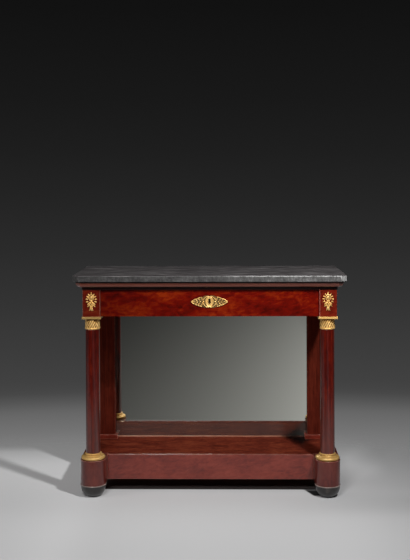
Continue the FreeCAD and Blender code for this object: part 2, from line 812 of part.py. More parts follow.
def drawer():
    board_front = board(across("drawer_half"), ("drawer_face", "drawer_face_back"),
                        ("drawer_bottom", "drawer_top"))
    front_pins = dovetails("box_bottom", "box_top", "side_front", "drawer_face_back")
    back_top = "box_top - drawer_top_drop"
    back_front = "drawer_end - drawer_back_thick"
    back_pins = dovetails("panel_top", back_top, "drawer_end", back_front)
    lap = board(("box_inner", "box_outer"), ("side_front", "drawer_face_back"),
                ("box_bottom", "box_top"))
    sockets = cut(lap, front_pins)
    groove = board(across("box_inner"), ("drawer_face_back - drawer_groove", "drawer_face_back"),
                   ("panel_bottom", "panel_top"))
    lock_bed = board(across("lock_width / 2"), ("lock_front", "drawer_face_back"),
                     ("lock_bottom", "drawer_top"))
    pilots = [cross_rod(x, z, "drawer_face_back - screw_length", "drawer_face_back",
                        "screw_radius") for x, z in screw_places()]
    node("drawer_front", cut(board_front, sockets, mirrored(sockets), groove, lock_bed,
                             keyhole("drawer_face", "drawer_face_back"), *pilots))
    side = board(("box_inner", "box_outer"), ("side_front", "drawer_end"),
                 ("box_bottom", "box_top"))
    slot = board(("box_inner", "box_inner + drawer_groove"), ("side_front", "drawer_end"),
                 ("panel_bottom", "panel_top"))
    pair("drawer_side", cut(side, slot, front_pins, back_pins))
    back = board(across("box_inner"), (back_front, "drawer_end"), ("panel_top", back_top))
    node("drawer_back", fuse(back, back_pins, mirrored(back_pins)))
    wide = "box_inner + drawer_groove - fit_gap"
    panel = padded("XY_Plane", [
        (f"-({wide})", "drawer_face_back"),
        ("-box_inner", "drawer_face_back"),
        ("-box_inner", "drawer_face_back - drawer_groove + fit_gap"),
        ("box_inner", "drawer_face_back - drawer_groove + fit_gap"),
        ("box_inner", "drawer_face_back"),
        (wide, "drawer_face_back"),
        (wide, "drawer_end"),
        (f"-({wide})", "drawer_end"),
    ], "drawer_bottom_thick")
    node("drawer_bottom_panel", place(panel, z="panel_bottom"))


# Lock with its sliding bolt

def lock():
    tray = board(across("lock_half"), ("lock_front", "drawer_face_back"),
                 ("lock_bottom + fit_gap", "lock_top"))
    hollow = board(across("lock_half - lock_wall"), ("lock_front + lock_wall", "drawer_face_back"),
                   ("lock_bottom + fit_gap + lock_wall", "lock_top - lock_wall"))
    mouth = bolt_slot("lock_top - lock_wall", "lock_top")
    node("lock_case", cut(tray, hollow, mouth, keyhole("lock_front", "lock_front + lock_wall")))
    plate_back = "drawer_face_back + lock_cover_thick"
    plate = board(across("cover_half"), ("drawer_face_back", plate_back),
                  ("cover_bottom", "lock_top"))
    holes = [cross_rod(x, z, "drawer_face_back", plate_back, "screw_radius")
             for x, z in screw_places()]
    node("lock_cover", cut(plate, *holes))
    screws = []
    for x, z in screw_places():
        shank = cross_rod(x, z, "drawer_face_back - screw_length", plate_back, "screw_radius")
        head = cross_rod(x, z, plate_back, f"{plate_back} + screw_head_height",
                         "screw_head_radius")
        screws.append(fuse(shank, head))
    node("lock_screws", group(*screws))
    tongue = board(across("bolt_width / 2"), ("bolt_front", "bolt_back"),
                   ("bolt_bottom", "lock_top"))
    talon = board(across("keyhole_radius"), ("bolt_front", "bolt_back"),
                  ("bolt_bottom", "bolt_bottom + keyhole_radius"))
    node("lock_bolt", cut(tongue, talon))
    strike = board(across("bolt_width / 2 + strike_border"),
                   ("bolt_front - strike_border", "bolt_back + strike_border"),
                   ("cornice_bottom", "cornice_bottom + strike_thick"))
    node("strike_plate", cut(strike, bolt_slot("cornice_bottom", "cornice_bottom + strike_thick")))


# Gilt escutcheon: a pointed scalloped plate, pierced beside its keyhole

def escutcheon():
    quarter = [
        ("escutcheon_half_length", "0"),
        ("scallop_outer_x", "scallop_outer_z"),
        ("scallop_inner_x", "scallop_inner_z"),
        ("0", "escutcheon_half_height"),
    ]
    upper = quarter + [(f"-({x})", z) for x, z in reversed(quarter[:-1])]
    lower = [(x, f"-({z})") for x, z in reversed(upper[1:-1])]
    outline = [(x, z, "scallop_radius") for x, z in upper + lower]
    plate = padded("XZ_Plane", outline, "escutcheon_thick")
    place(plate, y="drawer_face", z="escutcheon_z")
    back = "drawer_face"
    front = "drawer_face - escutcheon_thick"
    piercings = []
    for pierced in ("piercing_one", "piercing_two"):
        for side in ("", "-"):
            for lift in ("+", "-"):
                piercings.append(cross_rod(f"{side}{pierced}_x",
                                           f"escutcheon_z {lift} {pierced}_rise", front, back,
                                           "piercing_radius"))
    node("escutcheon", cut(plate, keyhole(front, back), *piercings))


# Gilt corner mounts: leaves fanned round a bud, tied over a stem with two tails

def leaf(x, z, angle, start):
    """A pointed leaf that leaves (x, z) at an angle from upright, seen from the front."""
    radius = "(spray_leaf_length ^ 2 + spray_leaf_width ^ 2) / (4 * spray_leaf_width)"
    aside = f"({radius} - spray_leaf_width / 2)"
    along = f"(({start}) + spray_leaf_length / 2)"
    blades = []
    for sign in ("+", "-"):
        middle_x = f"{x} + {along} * sin({angle}) {sign} {aside} * cos({angle})"
        middle_z = f"{z} + {along} * cos({angle}) {sign} -1 * {aside} * sin({angle})"
        blades.append(cross_rod(middle_x, middle_z, "post_front - mount_thick", "post_front", radius))
    return common(*blades)


def dome(x, z, radius):
    """A low half ball standing on the face of the post."""
    ball = doc.addObject("Part::Ellipsoid", "Dome")
    ball.Placement = Placement(Vector(), Rotation(Vector(1, 0, 0), 90))
    ball.Angle1 = 0
    bind(ball, "Radius1", "spray_relief")
    bind(ball, "Radius2", radius)
    bind(ball, "Radius3", radius)
    return place(ball, x, "post_front", z)


def corner_mount():
    tie = "mount_z - spray_tie_drop"
    tail = "mount_z - spray_stem_length"
    pieces = [leaf("column_x", "mount_z", "0", "spray_flame_rise")]
    for side in ("", "-"):
        for step in range(round(size("spray_fan_pairs"))):
            angle = f"{side}(spray_fan_first + {step} * spray_fan_pitch)"
            pieces.append(leaf("column_x", "mount_z", angle, "spray_leaf_start"))
        pieces.append(leaf("column_x", tie, f"{side}spray_arm_angle", "spray_arm_start"))
        pieces.append(leaf("column_x", tail, f"{side}spray_tail_angle", "0"))
        lobe = f"column_x {side or '+'} spray_lobe_spread"
        pieces.append(dome(lobe, "mount_z - spray_lobe_radius", "spray_lobe_radius"))
    pieces.append(dome("column_x", "mount_z + spray_bud_rise", "spray_bud_radius"))
    pieces.append(dome("column_x", "mount_z", "spray_heart_radius"))
    pieces.append(board(("column_x - spray_stem_width / 2", "column_x + spray_stem_width / 2"),
                        ("post_front - mount_thick", "post_front"),
                        (f"{tail} - spray_stem_width", "mount_z")))
    pair("corner_mount", fuse(*pieces))


def main():
    node("marble_top", marble_slab())
    cornice()
    frieze_frame()
    drawer_carriage()
    column()
    capital()
    column_mounts()
    plinth()
    feet()
    mirror_back()
    drawer()
    lock()
    escutcheon()
    corner_mount()
    doc.recompute()
    faults = [thing.Label for thing in doc.Objects if {"Invalid", "Error"} & set(thing.State)]
    faults += [thing.Label for thing in NODES if thing.Shape.isNull() or not thing.Shape.isValid()]
    if faults:
        raise RuntimeError(f"faulty objects: {faults}")
    os.makedirs("parts", exist_ok=True)
    for thing in NODES:
        thing.Shape.exportStep(f"parts/{thing.Label}.step")
    print(len(NODES), "sub-parts written")


main()
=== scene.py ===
"""Looks of the pier table.

Polished mahogany veneers, dark grey marble, chased gilt mounts and an old mirror plate.
"""
import json
import math

import bpy
from mathutils import Euler, Matrix, Vector


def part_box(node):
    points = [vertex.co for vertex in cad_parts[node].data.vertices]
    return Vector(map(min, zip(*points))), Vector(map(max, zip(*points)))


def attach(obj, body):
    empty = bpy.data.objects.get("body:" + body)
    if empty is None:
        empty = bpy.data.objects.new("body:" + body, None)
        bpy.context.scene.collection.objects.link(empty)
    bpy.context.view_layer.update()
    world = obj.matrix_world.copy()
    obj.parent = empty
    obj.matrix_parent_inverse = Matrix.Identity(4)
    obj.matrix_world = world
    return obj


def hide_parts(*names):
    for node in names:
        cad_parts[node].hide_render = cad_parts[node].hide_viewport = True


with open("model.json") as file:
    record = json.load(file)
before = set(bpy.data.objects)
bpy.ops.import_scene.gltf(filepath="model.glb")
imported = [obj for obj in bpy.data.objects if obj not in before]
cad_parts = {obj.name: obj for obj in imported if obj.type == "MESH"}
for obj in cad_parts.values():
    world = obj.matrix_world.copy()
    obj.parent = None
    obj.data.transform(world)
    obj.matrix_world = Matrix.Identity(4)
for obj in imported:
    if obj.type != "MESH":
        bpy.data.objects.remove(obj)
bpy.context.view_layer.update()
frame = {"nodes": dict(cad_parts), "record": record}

MM = 0.001
FINISHES = {}


def put_up(name, data):
    """A new object of a mesh, curve, lamp or camera in the scene."""
    made = bpy.data.objects.new(name, data)
    bpy.context.scene.collection.objects.link(made)
    return made


# Node trees written as Python

def operator(operation, reflected=False):
    """A Python operator that adds one Math node."""
    def method(self, other):
        first, second = (other, self) if reflected else (self, other)
        return self.tree.reckon(operation, first, second)
    return method


class Socket:
    """One output of a node. Sums of sockets and numbers add Math nodes to its tree."""

    def __init__(self, tree, end):
        self.tree = tree
        self.end = end

    def other(self, name):
        """Another output of the same node."""
        return Socket(self.tree, find_end(self.end.node.outputs, name))

    __add__ = operator("ADD")
    __radd__ = operator("ADD", reflected=True)
    __sub__ = operator("SUBTRACT")
    __rsub__ = operator("SUBTRACT", reflected=True)
    __mul__ = operator("MULTIPLY")
    __rmul__ = operator("MULTIPLY", reflected=True)
    __truediv__ = operator("DIVIDE")
    __rtruediv__ = operator("DIVIDE", reflected=True)
    __pow__ = operator("POWER")
    __rpow__ = operator("POWER", reflected=True)


def find_end(ends, key):
    """A node's input or output by its place, its identifier or its name."""
    if isinstance(key, int):
        return ends[key]
    for end in ends:
        if end.identifier == key:
            return end
    return ends[key]


def set_stops(elements, stops):
    """Gives a ramp's elements their (position, colour) pairs."""
    while len(elements) < len(stops):
        elements.new(1.0)
    for element, (position, colour) in zip(elements, stops):
        element.position = position
        element.color = (*colour, 1.0)


class Tree:
    """A node tree: node() adds one node and gives one of its outputs."""

    def __init__(self, tree):
        self.tree = tree

    def node(self, kind, settings=None, sockets=None, output=0):
        """A node of a kind. Its settings come first, then the values or links of its inputs."""
        made = self.tree.nodes.new(kind)
        for name, value in (settings or {}).items():
            if name == "stops":
                set_stops(made.color_ramp.elements, value)
            else:
                setattr(made, name, value)
        for key, value in (sockets or {}).items():
            end = find_end(made.inputs, key)
            if isinstance(value, Socket):
                self.tree.links.new(value.end, end)
            else:
                end.default_value = value
        if not made.outputs:
            return None
        return Socket(self, find_end(made.outputs, output))

    def reckon(self, operation, *values):
        """A Math node on one or two values."""
        return self.node("ShaderNodeMath", {"operation": operation},
                         dict(zip(("Value", "Value_001"), values)))

    def magnitude(self, value):
        return self.reckon("ABSOLUTE", value)

    def step(self, value, low, high):
        """0 below low, 1 above high, smooth between."""
        return self.node("ShaderNodeMapRange", {"interpolation_type": "SMOOTHSTEP"},
                         {"Value": value, "From Min": low, "From Max": high})

    def between(self, value, rise, fall):
        """1 between two pairs of limits, smooth where it rises and where it falls."""
        return self.step(value, *rise) * (1.0 - self.step(value, *fall))


class Finish(Tree):
    """A material under construction. Its patterns read the piece's own Object coordinates."""

    def __init__(self, name):
        self.material = bpy.data.materials.new(name)
        self.material.use_nodes = True
        super().__init__(self.material.node_tree)
        self.tree.nodes.clear()
        self.place = self.node("ShaderNodeTexCoord", output="Object")
        FINISHES[name] = self.material

    def stretched(self, scale, at=None):
        """Places scaled on each axis; a small scale draws a pattern out."""
        return self.node("ShaderNodeMapping", None, {"Vector": at or self.place, "Scale": scale})

    def leaning(self, turn):
        return self.node("ShaderNodeMapping", None, {"Vector": self.place, "Rotation": turn})

    def coordinate(self, axis):
        """One coordinate of the place; other() gives the two beside it."""
        return self.node("ShaderNodeSeparateXYZ", None, {"Vector": self.place}, axis)

    def noise(self, at, scale, detail=2.0, roughness=0.5, distortion=0.0, output="Fac"):
        """A noise of about 0 to 1 with its middle at 0.5."""
        return self.node("ShaderNodeTexNoise", None,
                         {"Vector": at, "Scale": scale, "Detail": detail, "Roughness": roughness,
                          "Distortion": distortion}, output)

    def drifted(self, at, scale, reach):
        """Places moved about by a soft noise, so that a pattern wanders."""
        drift = self.noise(at, scale, output="Color")
        centred = self.node("ShaderNodeVectorMath", {"operation": "SUBTRACT"},
                            {0: drift, 1: (0.5, 0.5, 0.5)})
        return self.node("ShaderNodeVectorMath", {"operation": "MULTIPLY_ADD"},
                         {0: centred, 1: (reach, reach, reach), 2: at})

    def ramp(self, value, *stops):
        """A colour that runs through (position, colour) stops."""
        return self.node("ShaderNodeValToRGB", {"stops": stops}, {"Fac": value}, "Color")

    def mix(self, share, first, second, blend="MIX"):
        """The first colour, with its share of the second."""
        first, second = (x if isinstance(x, Socket) else (*x, 1.0) for x in (first, second))
        return self.node("ShaderNodeMix", {"data_type": "RGBA", "blend_type": blend},
                         {"Factor_Float": share, "A_Color": first, "B_Color": second},
                         "Result_Color")

    def bump(self, height, distance, strength=1.0):
        return self.node("ShaderNodeBump", None,
                         {"Height": height, "Distance": distance, "Strength": strength})

    def polished(self, sockets):
        """Ends the material in one Principled shader."""
        shader = self.node("ShaderNodeBsdfPrincipled", None, sockets, "BSDF")
        self.node("ShaderNodeOutputMaterial", None, {"Surface": shader})


# Finishes

# How the figure and the streaks are drawn out along the grain, and how the flame leans
ALONG = {"X": (0.48, 1.0, 1.0), "Y": (1.0, 0.40, 1.0), "Z": (1.0, 1.0, 0.40)}
STREAK = {"X": (0.03, 1.0, 1.0), "Y": (1.0, 0.03, 1.0), "Z": (1.0, 1.0, 0.03)}
LEAN = {"X": (0.0, 0.28, 0.0), "Y": (0.55, 0.0, 0.0), "Z": (0.0, 0.05, 0.0)}

# The old plate sits a little askew in its rebate
PLATE_TURN = 0.022

RED = (0.122, 0.0026, 0.0003)
ORANGE = (0.242, 0.022, 0.0015)
BROWN = (0.069, 0.0024, 0.0005)
RUSSET = (0.134, 0.0090, 0.0012)
# Colours of painted light: a grey sheen, a pale highlight, a corner's shadow, an undercut's shade
GREY_BLOOM = (0.105, 0.054, 0.046)
BARE_WOOD = (0.37, 0.125, 0.100)
GRIME = (0.004, 0.003, 0.003)
OLD_DIRT = (0.012, 0.0016, 0.0008)
PLAIN = (1.0, 1.0, 1.0)


def toned(share, colour):
    return tuple(share * c for c in colour)


def aged(wood, colour, darker_left=None, bloomed=None, bare_line=None, grimy=None, soiled=None):
    """Light and shade painted into a veneer's colour.

    A long veneer can be painted darker towards its left end, down to a given tone. Between two
    heights a painted sheen turns the polish greyer downwards. Just right of a given line a
    painted highlight runs as a pale line. A painted shadow darkens it round a given point.
    Outside two heights, in a moulding's undercut and under what overhangs it, painted shade
    turns it black.
    """
    across = wood.coordinate("X")
    # Painted shade: darker towards the left end.
    if darker_left:
        end = wood.step(across, -0.55, -0.05)
        tone = wood.ramp(end, (0.0, toned(darker_left, PLAIN)), (1.0, PLAIN))
        colour = wood.mix(1.0, colour, tone, "MULTIPLY")
    # Painted sheen: the polish greyer towards the foot.
    if bloomed:
        grey = 1.0 - wood.step(across.other("Z"), *bloomed)
        colour = wood.mix(grey * 0.35, colour, GREY_BLOOM)
    # Painted highlight: a pale line along the arris.
    if bare_line:
        line = wood.between(across - bare_line, (0.6 * MM, 1.4 * MM), (2.4 * MM, 3.4 * MM))
        colour = wood.mix(line * 0.8, colour, BARE_WOOD)
    # Painted shadow round a corner.
    if grimy:
        aside = wood.magnitude(across - grimy[0])
        forward = wood.magnitude(across.other("Y") - grimy[1])
        clean = wood.step(aside + forward * 0.6, 35 * MM, 105 * MM)
        colour = wood.mix((1.0 - clean) * 0.94, colour, GRIME)
    # Painted shade: black in the undercut and under what overhangs.
    if soiled:
        foot, head = ((limit - 0.6 * MM, limit + 0.4 * MM) for limit in soiled)
        clean = wood.between(across.other("Z"), foot, head)
        colour = wood.mix(clean, OLD_DIRT, colour)
    return colour


def mahogany(name, grain, shade, flame, figured, ribboned, polish=0.85, shine=0.2, lean=1.0,
             **age):
    """French-polished mahogany veneer: leaning flame figure, ribbon streaks, pores, wavy polish."""
    wood = Finish(name)
    turn = tuple(lean * angle for angle in LEAN[grain])
    streaked = wood.stretched(STREAK[grain])
    figure = wood.drifted(wood.stretched(ALONG[grain], wood.leaning(turn)), scale=9.0, reach=0.04)
    cloud = wood.noise(wood.stretched(ALONG[grain]), scale=13.0, detail=3.0, roughness=0.55)
    fleck = wood.noise(figure, scale=62.0, detail=4.0, roughness=0.62, distortion=0.5)
    ribbon = wood.noise(wood.drifted(streaked, scale=6.0, reach=0.02), scale=170.0, detail=4.0,
                        roughness=0.65)
    pore = wood.step(wood.noise(streaked, scale=1400.0, detail=1.0, roughness=0.4), 0.60, 0.72)
    glow = 0.5 + (cloud + fleck - 1.0) * figured + (ribbon - 0.5) * ribboned
    deep = toned(0.40, shade)
    colour = wood.ramp(glow, (0.18, deep), (0.48, shade), (0.82, flame))
    colour = wood.mix(pore * 0.3, colour, toned(0.3, deep))
    if age:
        colour = aged(wood, colour, **age)
    wear = wood.noise(wood.place, scale=42.0, detail=4.0, roughness=0.6)
    waves = wood.noise(wood.place, scale=28.0) + pore * -0.12
    wood.polished({
        "Base Color": colour,
        "Roughness": 0.30 + wood.step(wear, 0.45, 0.75) * 0.12,
        "Specular IOR Level": shine,
        "Coat Weight": polish - wood.step(wear, 0.50, 0.80) * 0.25,
        "Coat Roughness": 0.12,
        "Normal": wood.bump(waves, 0.35 * MM),
    })


def rubbed_mahogany(name, low, high):
    """Arrises gone pale with wear in places, a pale that also paints their highlights."""
    wood = Finish(name)
    worn = wood.step(wood.noise(wood.place, scale=26.0, detail=5.0, roughness=0.65), low, high)
    kept, pale = (0.17, 0.020, 0.008), (0.46, 0.20, 0.14)
    wood.polished({
        "Base Color": wood.mix(worn, kept, pale),
        "Roughness": 0.28 + worn * 0.10,
        "Coat Weight": 1.0 - worn * 0.3,
        "Coat Roughness": 0.15,
    })


def grey_marble(name, worn):
    """Dark grey marble: dull streaks along the polished top, a paler mottled edge, white specks.

    A painted highlight whitens the front edge of the top towards its right end, and the eased
    arris, which has its own finish, still more; the edge is painted lighter to the right.
    """
    stone = Finish(name)
    low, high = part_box("marble_top")
    across = stone.coordinate("X")
    height = across.other("Z")
    top = stone.step(height, high.z - 2.5 * MM, high.z - 1.0 * MM)
    right = stone.step(across, -0.60, 0.60)
    corner = stone.step(across, high.x - 33 * MM, high.x - 16 * MM)
    along = stone.drifted(stone.stretched((0.22, 1.0, 1.0)), scale=14.0, reach=0.05)
    streak = stone.noise(along, scale=42.0, detail=6.0, roughness=0.68, distortion=0.4)
    cloud = stone.noise(stone.stretched((0.6, 1.0, 1.0)), scale=26.0, detail=5.0, roughness=0.65)
    mottle = stone.noise(stone.stretched((1.0, 1.0, 0.45)), scale=120.0, detail=5.0,
                         roughness=0.72)
    specks = stone.noise(stone.place, scale=520.0, detail=3.0, roughness=0.7)
    polished = stone.ramp(streak * 0.75 + cloud * 0.25, (0.36, (0.040, 0.035, 0.036)),
                          (0.50, (0.086, 0.078, 0.079)), (0.66, (0.26, 0.245, 0.245)))
    # Painted light: the sawn edge is lighter towards the right end.
    sawn = stone.ramp(mottle * 0.6 + cloud * 0.4 + right * 0.15 - 0.06,
                      (0.42, (0.026, 0.024, 0.024)), (0.58, (0.078, 0.075, 0.073)),
                      (0.78, (0.26, 0.255, 0.25)))
    pale, speck, white = (0.30, 0.30, 0.295), (0.40, 0.40, 0.395), (0.70, 0.70, 0.69)
    sawn = stone.mix(corner * stone.step(mottle, 0.30, 0.56), sawn, pale)
    colour = stone.mix(top, sawn, polished)
    colour = stone.mix(stone.step(specks + mottle * 0.25, 0.74, 0.88) * 0.5, colour, speck)
    if worn:
        share = stone.step(height, high.z - 14 * MM, high.z - 8 * MM) * 0.55
    else:
        front = 1.0 - stone.step(across.other("Y"), low.y + 2.8 * MM, low.y + 3.8 * MM)
        share = stone.step(height, high.z - 4.2 * MM, high.z - 3.2 * MM) * front * 0.45
    # Painted highlight: the front edge whitens in patches towards the right end.
    rubbed = stone.step(right, 0.42, 0.85) * stone.step(mottle, 0.36, 0.56)
    stone.polished({
        "Base Color": stone.mix(rubbed * share, colour, white),
        "Roughness": 0.40 - top * 0.12 + stone.step(specks, 0.40, 0.70) * 0.14,
        "Specular IOR Level": 0.42,
        "Normal": stone.bump(specks + mottle, 0.12 * MM),
    })


def gilt_bronze(name, rich, dull=0.0):
    """Fire-gilt bronze: mat gold, burnished in places, brown in the hollows of the chasing."""
    gilt = Finish(name)
    hollow = gilt.node("ShaderNodeAttribute", {"attribute_name": "recess"}, output="Fac")
    cloud = gilt.noise(gilt.place, scale=55.0, detail=4.0, roughness=0.6)
    tooling = gilt.noise(gilt.place, scale=900.0, roughness=0.6)
    burnished = gilt.step(cloud, 0.36, 0.68)
    mat, bright = toned(rich, (0.80, 0.46, 0.130)), toned(rich, (0.98, 0.64, 0.23))
    brown, black = (0.20, 0.080, 0.014), (0.010, 0.005, 0.003)
    colour = gilt.mix(burnished, mat, bright)
    colour = gilt.mix(gilt.step(hollow, 0.20, 1.0) * 0.88, colour, brown)
    # Painted shade: black beyond the deepest chasing, at the keyhole's edge.
    colour = gilt.mix(gilt.step(hollow, 1.2, 2.0), colour, black)
    gilt.polished({
        "Base Color": colour,
        "Metallic": 0.42 + burnished * 0.16,
        "Roughness": 0.34 + dull + hollow * 0.2 + (1.0 - burnished) * 0.10,
        "Normal": gilt.bump(tooling, 0.08 * MM, 0.5),
    })


def ebonised_wood():
    """Black-stained turned feet, grey with wear where handled, a painted highlight on the collar.
    """
    black = Finish("ebonised_wood")
    turning = black.noise(black.stretched((0.15, 0.15, 1.0)), scale=320.0, detail=3.0,
                          roughness=0.6)
    wear = black.noise(black.place, scale=38.0, detail=5.0, roughness=0.65)
    rubbed = black.step(wear, 0.48, 0.74)
    stained, grey, pale = (0.013, 0.011, 0.010), (0.060, 0.050, 0.042), (0.42, 0.32, 0.28)
    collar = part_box("plinth_arm_left")[0].z - 4.2 * MM
    # Painted highlight: a pale band along the collar's bead.
    bead = black.step(black.coordinate("Z"), collar, collar + 0.8 * MM)
    colour = black.mix(rubbed * 0.7, stained, grey)
    colour = black.mix(bead * (0.45 + rubbed * 0.55), colour, pale)
    black.polished({
        "Base Color": colour,
        "Roughness": 0.34 + rubbed * 0.22,
        "Specular IOR Level": 0.5,
        "Coat Weight": 0.35,
        "Coat Roughness": 0.2,
        "Normal": black.bump(turning, 0.15 * MM),
    })


def pine(name, grain):
    """Plain secondary wood, oxidised brown, with growth rings along the board."""
    wood = Finish(name)
    streaked = wood.stretched(STREAK[grain])
    along = wood.drifted(wood.stretched(ALONG[grain]), scale=5.0, reach=0.06)
    rings = wood.noise(wood.drifted(streaked, scale=4.0, reach=0.03), scale=75.0, detail=3.0,
                       roughness=0.6)
    stain = wood.noise(along, scale=8.0, detail=4.0, roughness=0.6)
    fibre = wood.noise(streaked, scale=900.0)
    late, early, pale = (0.17, 0.085, 0.034), (0.34, 0.20, 0.095), (0.44, 0.28, 0.145)
    stained = (0.13, 0.075, 0.040)
    colour = wood.ramp(rings, (0.32, late), (0.52, early), (0.72, pale))
    colour = wood.mix(wood.step(stain, 0.42, 0.72) * 0.55, colour, stained)
    wood.polished({
        "Base Color": colour,
        "Roughness": 0.62 + fibre * 0.22,
        "Normal": wood.bump(fibre, 0.25 * MM),
    })


def mirror_glass():
    """An old silvered plate: clear in the middle, foxed towards its edges, dusty at its foot."""
    glass = Finish("mirror_glass")
    low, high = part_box("mirror_plate")
    across = glass.coordinate("X")
    side = high.x - glass.magnitude(across)
    foot = across.other("Z") - low.z
    head = high.z - across.other("Z")
    near = glass.reckon("MINIMUM", glass.reckon("MINIMUM", side, foot), head)
    blotch = glass.noise(glass.place, scale=60.0, detail=6.0, roughness=0.7)
    haze = glass.noise(glass.place, scale=5.0, detail=3.0)
    foxed = glass.step(blotch + (1.0 - glass.step(near, 0.0, 30 * MM)) * 0.20, 0.76, 0.90)
    dusty = 1.0 - glass.step(foot + (blotch - 0.5) * (30 * MM), 50 * MM, 76 * MM)
    silver, dust, brown = (0.80, 0.805, 0.735), (0.05, 0.045, 0.035), (0.10, 0.085, 0.065)
    colour = glass.mix(dusty * 0.38, silver, dust)
    colour = glass.mix(foxed * 0.75, colour, brown)
    glass.polished({
        "Base Color": colour,
        "Metallic": 1.0 - dusty * 0.06,
        "Roughness": 0.015 + glass.step(haze, 0.45, 0.75) * 0.03 + foxed * 0.35,
        "Normal": glass.bump(across * PLATE_TURN, 1.0),
    })


def plain_metal(name, bright, dull, roughness):
    """Filed and handled metal of the lock."""
    metal = Finish(name)
    files = metal.noise(metal.stretched((0.06, 1.0, 1.0)), scale=2600.0)
    handled = metal.noise(metal.place, scale=120.0, detail=5.0, roughness=0.65)
    tarnish = metal.step(handled, 0.42, 0.70)
    metal.polished({
        "Base Color": metal.mix(tarnish, bright, dull),
        "Metallic": 1.0,
        "Roughness": roughness + tarnish * 0.18,
        "Normal": metal.bump(files, 0.05 * MM),
    })


def make_veneers():
    """The mahogany of each part of the table, with its own painted shade, highlights and sheen."""
    # Painted shade darkens the frieze and the posts towards their left end.
    mahogany("frieze_mahogany", "X", RED, ORANGE, figured=1.0, ribboned=0.30, polish=0.12,
             shine=0.08, lean=0.4, darker_left=0.50)
    # The right post carries a painted highlight line beside its arris.
    mahogany("post_mahogany", "X", shade=(0.138, 0.0098, 0.0034), flame=(0.214, 0.028, 0.0085),
             figured=0.9, ribboned=0.30, polish=0.12, shine=0.08, darker_left=0.62,
             bare_line=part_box("front_post_right")[0].x)
    # The cornice is painted black as shade in its undercut and under the slab.
    cornice_low, cornice_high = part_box("cornice_front")
    mahogany("cornice_mahogany", "X", shade=(0.140, 0.036, 0.022), flame=(0.175, 0.050, 0.031),
             figured=0.4, ribboned=0.2, polish=0.5,
             soiled=(cornice_low.z + 13 * MM, cornice_high.z - 6 * MM))
    # The columns carry a painted grey sheen towards their foot.
    mahogany("upright_mahogany", "Z", BROWN, RUSSET, figured=0.75, ribboned=1.3, shine=0.1,
             bloomed=(0.22, 0.46))
    mahogany("drum_mahogany", "Z", shade=(0.088, 0.0108, 0.0066), flame=(0.142, 0.026, 0.015),
             figured=0.55, ribboned=0.35, polish=0.8)
    mahogany("pilaster_mahogany", "Z", shade=(0.068, 0.0094, 0.0052), flame=(0.138, 0.0215, 0.0105),
             figured=0.40, ribboned=0.9, polish=0.05, shine=0.0)
    mahogany("plinth_mahogany", "X", shade=(0.150, 0.018, 0.0095), flame=(0.22, 0.036, 0.020),
             figured=0.75, ribboned=0.10)
    mahogany("side_mahogany", "Y", BROWN, RUSSET, figured=0.45, ribboned=0.45)
    # A painted shadow darkens the shelf and its bead round the corner at the right pilaster.
    shelf_corner = (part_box("mirror_bead")[1].x - 22 * MM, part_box("mirror_bead")[0].y)
    mahogany("shelf_mahogany", "X", shade=(0.106, 0.0170, 0.0090), flame=(0.205, 0.045, 0.0190),
             figured=0.8, ribboned=0.6, polish=0.2, shine=0.0, grimy=shelf_corner)
    # The bead's pale colour paints the highlight along it.
    mahogany("bead_mahogany", "X", shade=(0.25, 0.094, 0.056), flame=(0.34, 0.145, 0.090),
             figured=0.4, ribboned=0.2, polish=0.1, shine=0.05, grimy=shelf_corner)


def make_finishes():
    """Every finish, under its name in FINISHES."""
    make_veneers()
    rubbed_mahogany("rubbed_mahogany", low=0.36, high=0.62)
    # On the right front post the arris is paled more widely, as a painted highlight.
    rubbed_mahogany("bare_mahogany", low=0.10, high=0.45)
    grey_marble("grey_marble", worn=False)
    grey_marble("worn_marble", worn=True)
    gilt_bronze("gilt_bronze", rich=1.0)
    gilt_bronze("turned_gilding", rich=0.74, dull=0.10)
    gilt_bronze("worn_gilding", rich=0.66, dull=0.10)
    gilt_bronze("shaded_gilding", rich=0.88)
    gilt_bronze("ground_gilding", rich=0.22)
    # A darker copy of the gilding paints shade on the left abacus.
    gilt_bronze("dull_gilding", rich=0.50)
    ebonised_wood()
    pine("long_pine", "X")
    pine("deep_pine", "Y")
    pine("tall_pine", "Z")
    mirror_glass()
    plain_metal("lock_brass", (0.60, 0.42, 0.17), (0.30, 0.19, 0.075), roughness=0.32)
    plain_metal("lock_steel", (0.36, 0.35, 0.34), (0.13, 0.115, 0.10), roughness=0.38)


# Slots whose finish has another name than theirs
SLOT_FINISH = {"marble": "grey_marble", "mahogany": "upright_mahogany", "pine": "long_pine"}


def pair(name):
    """The names of a left and a right node."""
    return [name + "_left", name + "_right"]


# Nodes whose finish isn't their slot's own
CORNICE = ["cornice_front", *pair("cornice")]
FINISH_NODES = {
    "cornice_mahogany": CORNICE,
    "post_mahogany": pair("front_post"),
    "frieze_mahogany": ["drawer_front", "front_top_rail", "frieze_back_rail"],
    "side_mahogany": pair("frieze_side") + pair("plinth_side_rail"),
    "plinth_mahogany": ["plinth_front_rail", *pair("pilaster_base")],
    "drum_mahogany": pair("plinth_arm"),
    "pilaster_mahogany": pair("back_post"),
    "shelf_mahogany": ["shelf_board"],
    "bead_mahogany": ["mirror_bead"],
    "deep_pine": [*pair("drawer_side"), *pair("drawer_runner"), *pair("drawer_guide"),
                  *pair("drawer_kicker")],
    "tall_pine": ["back_boards", "mirror_blocks"],
    "turned_gilding": ["column_base_left"],
    "worn_gilding": ["column_base_right"],
    "ground_gilding": ["escutcheon"],
    "dull_gilding": ["abacus_left"],
}
NODE_FINISH = {node: finish for finish, nodes in FINISH_NODES.items() for node in nodes}


# Geometry Nodes trees

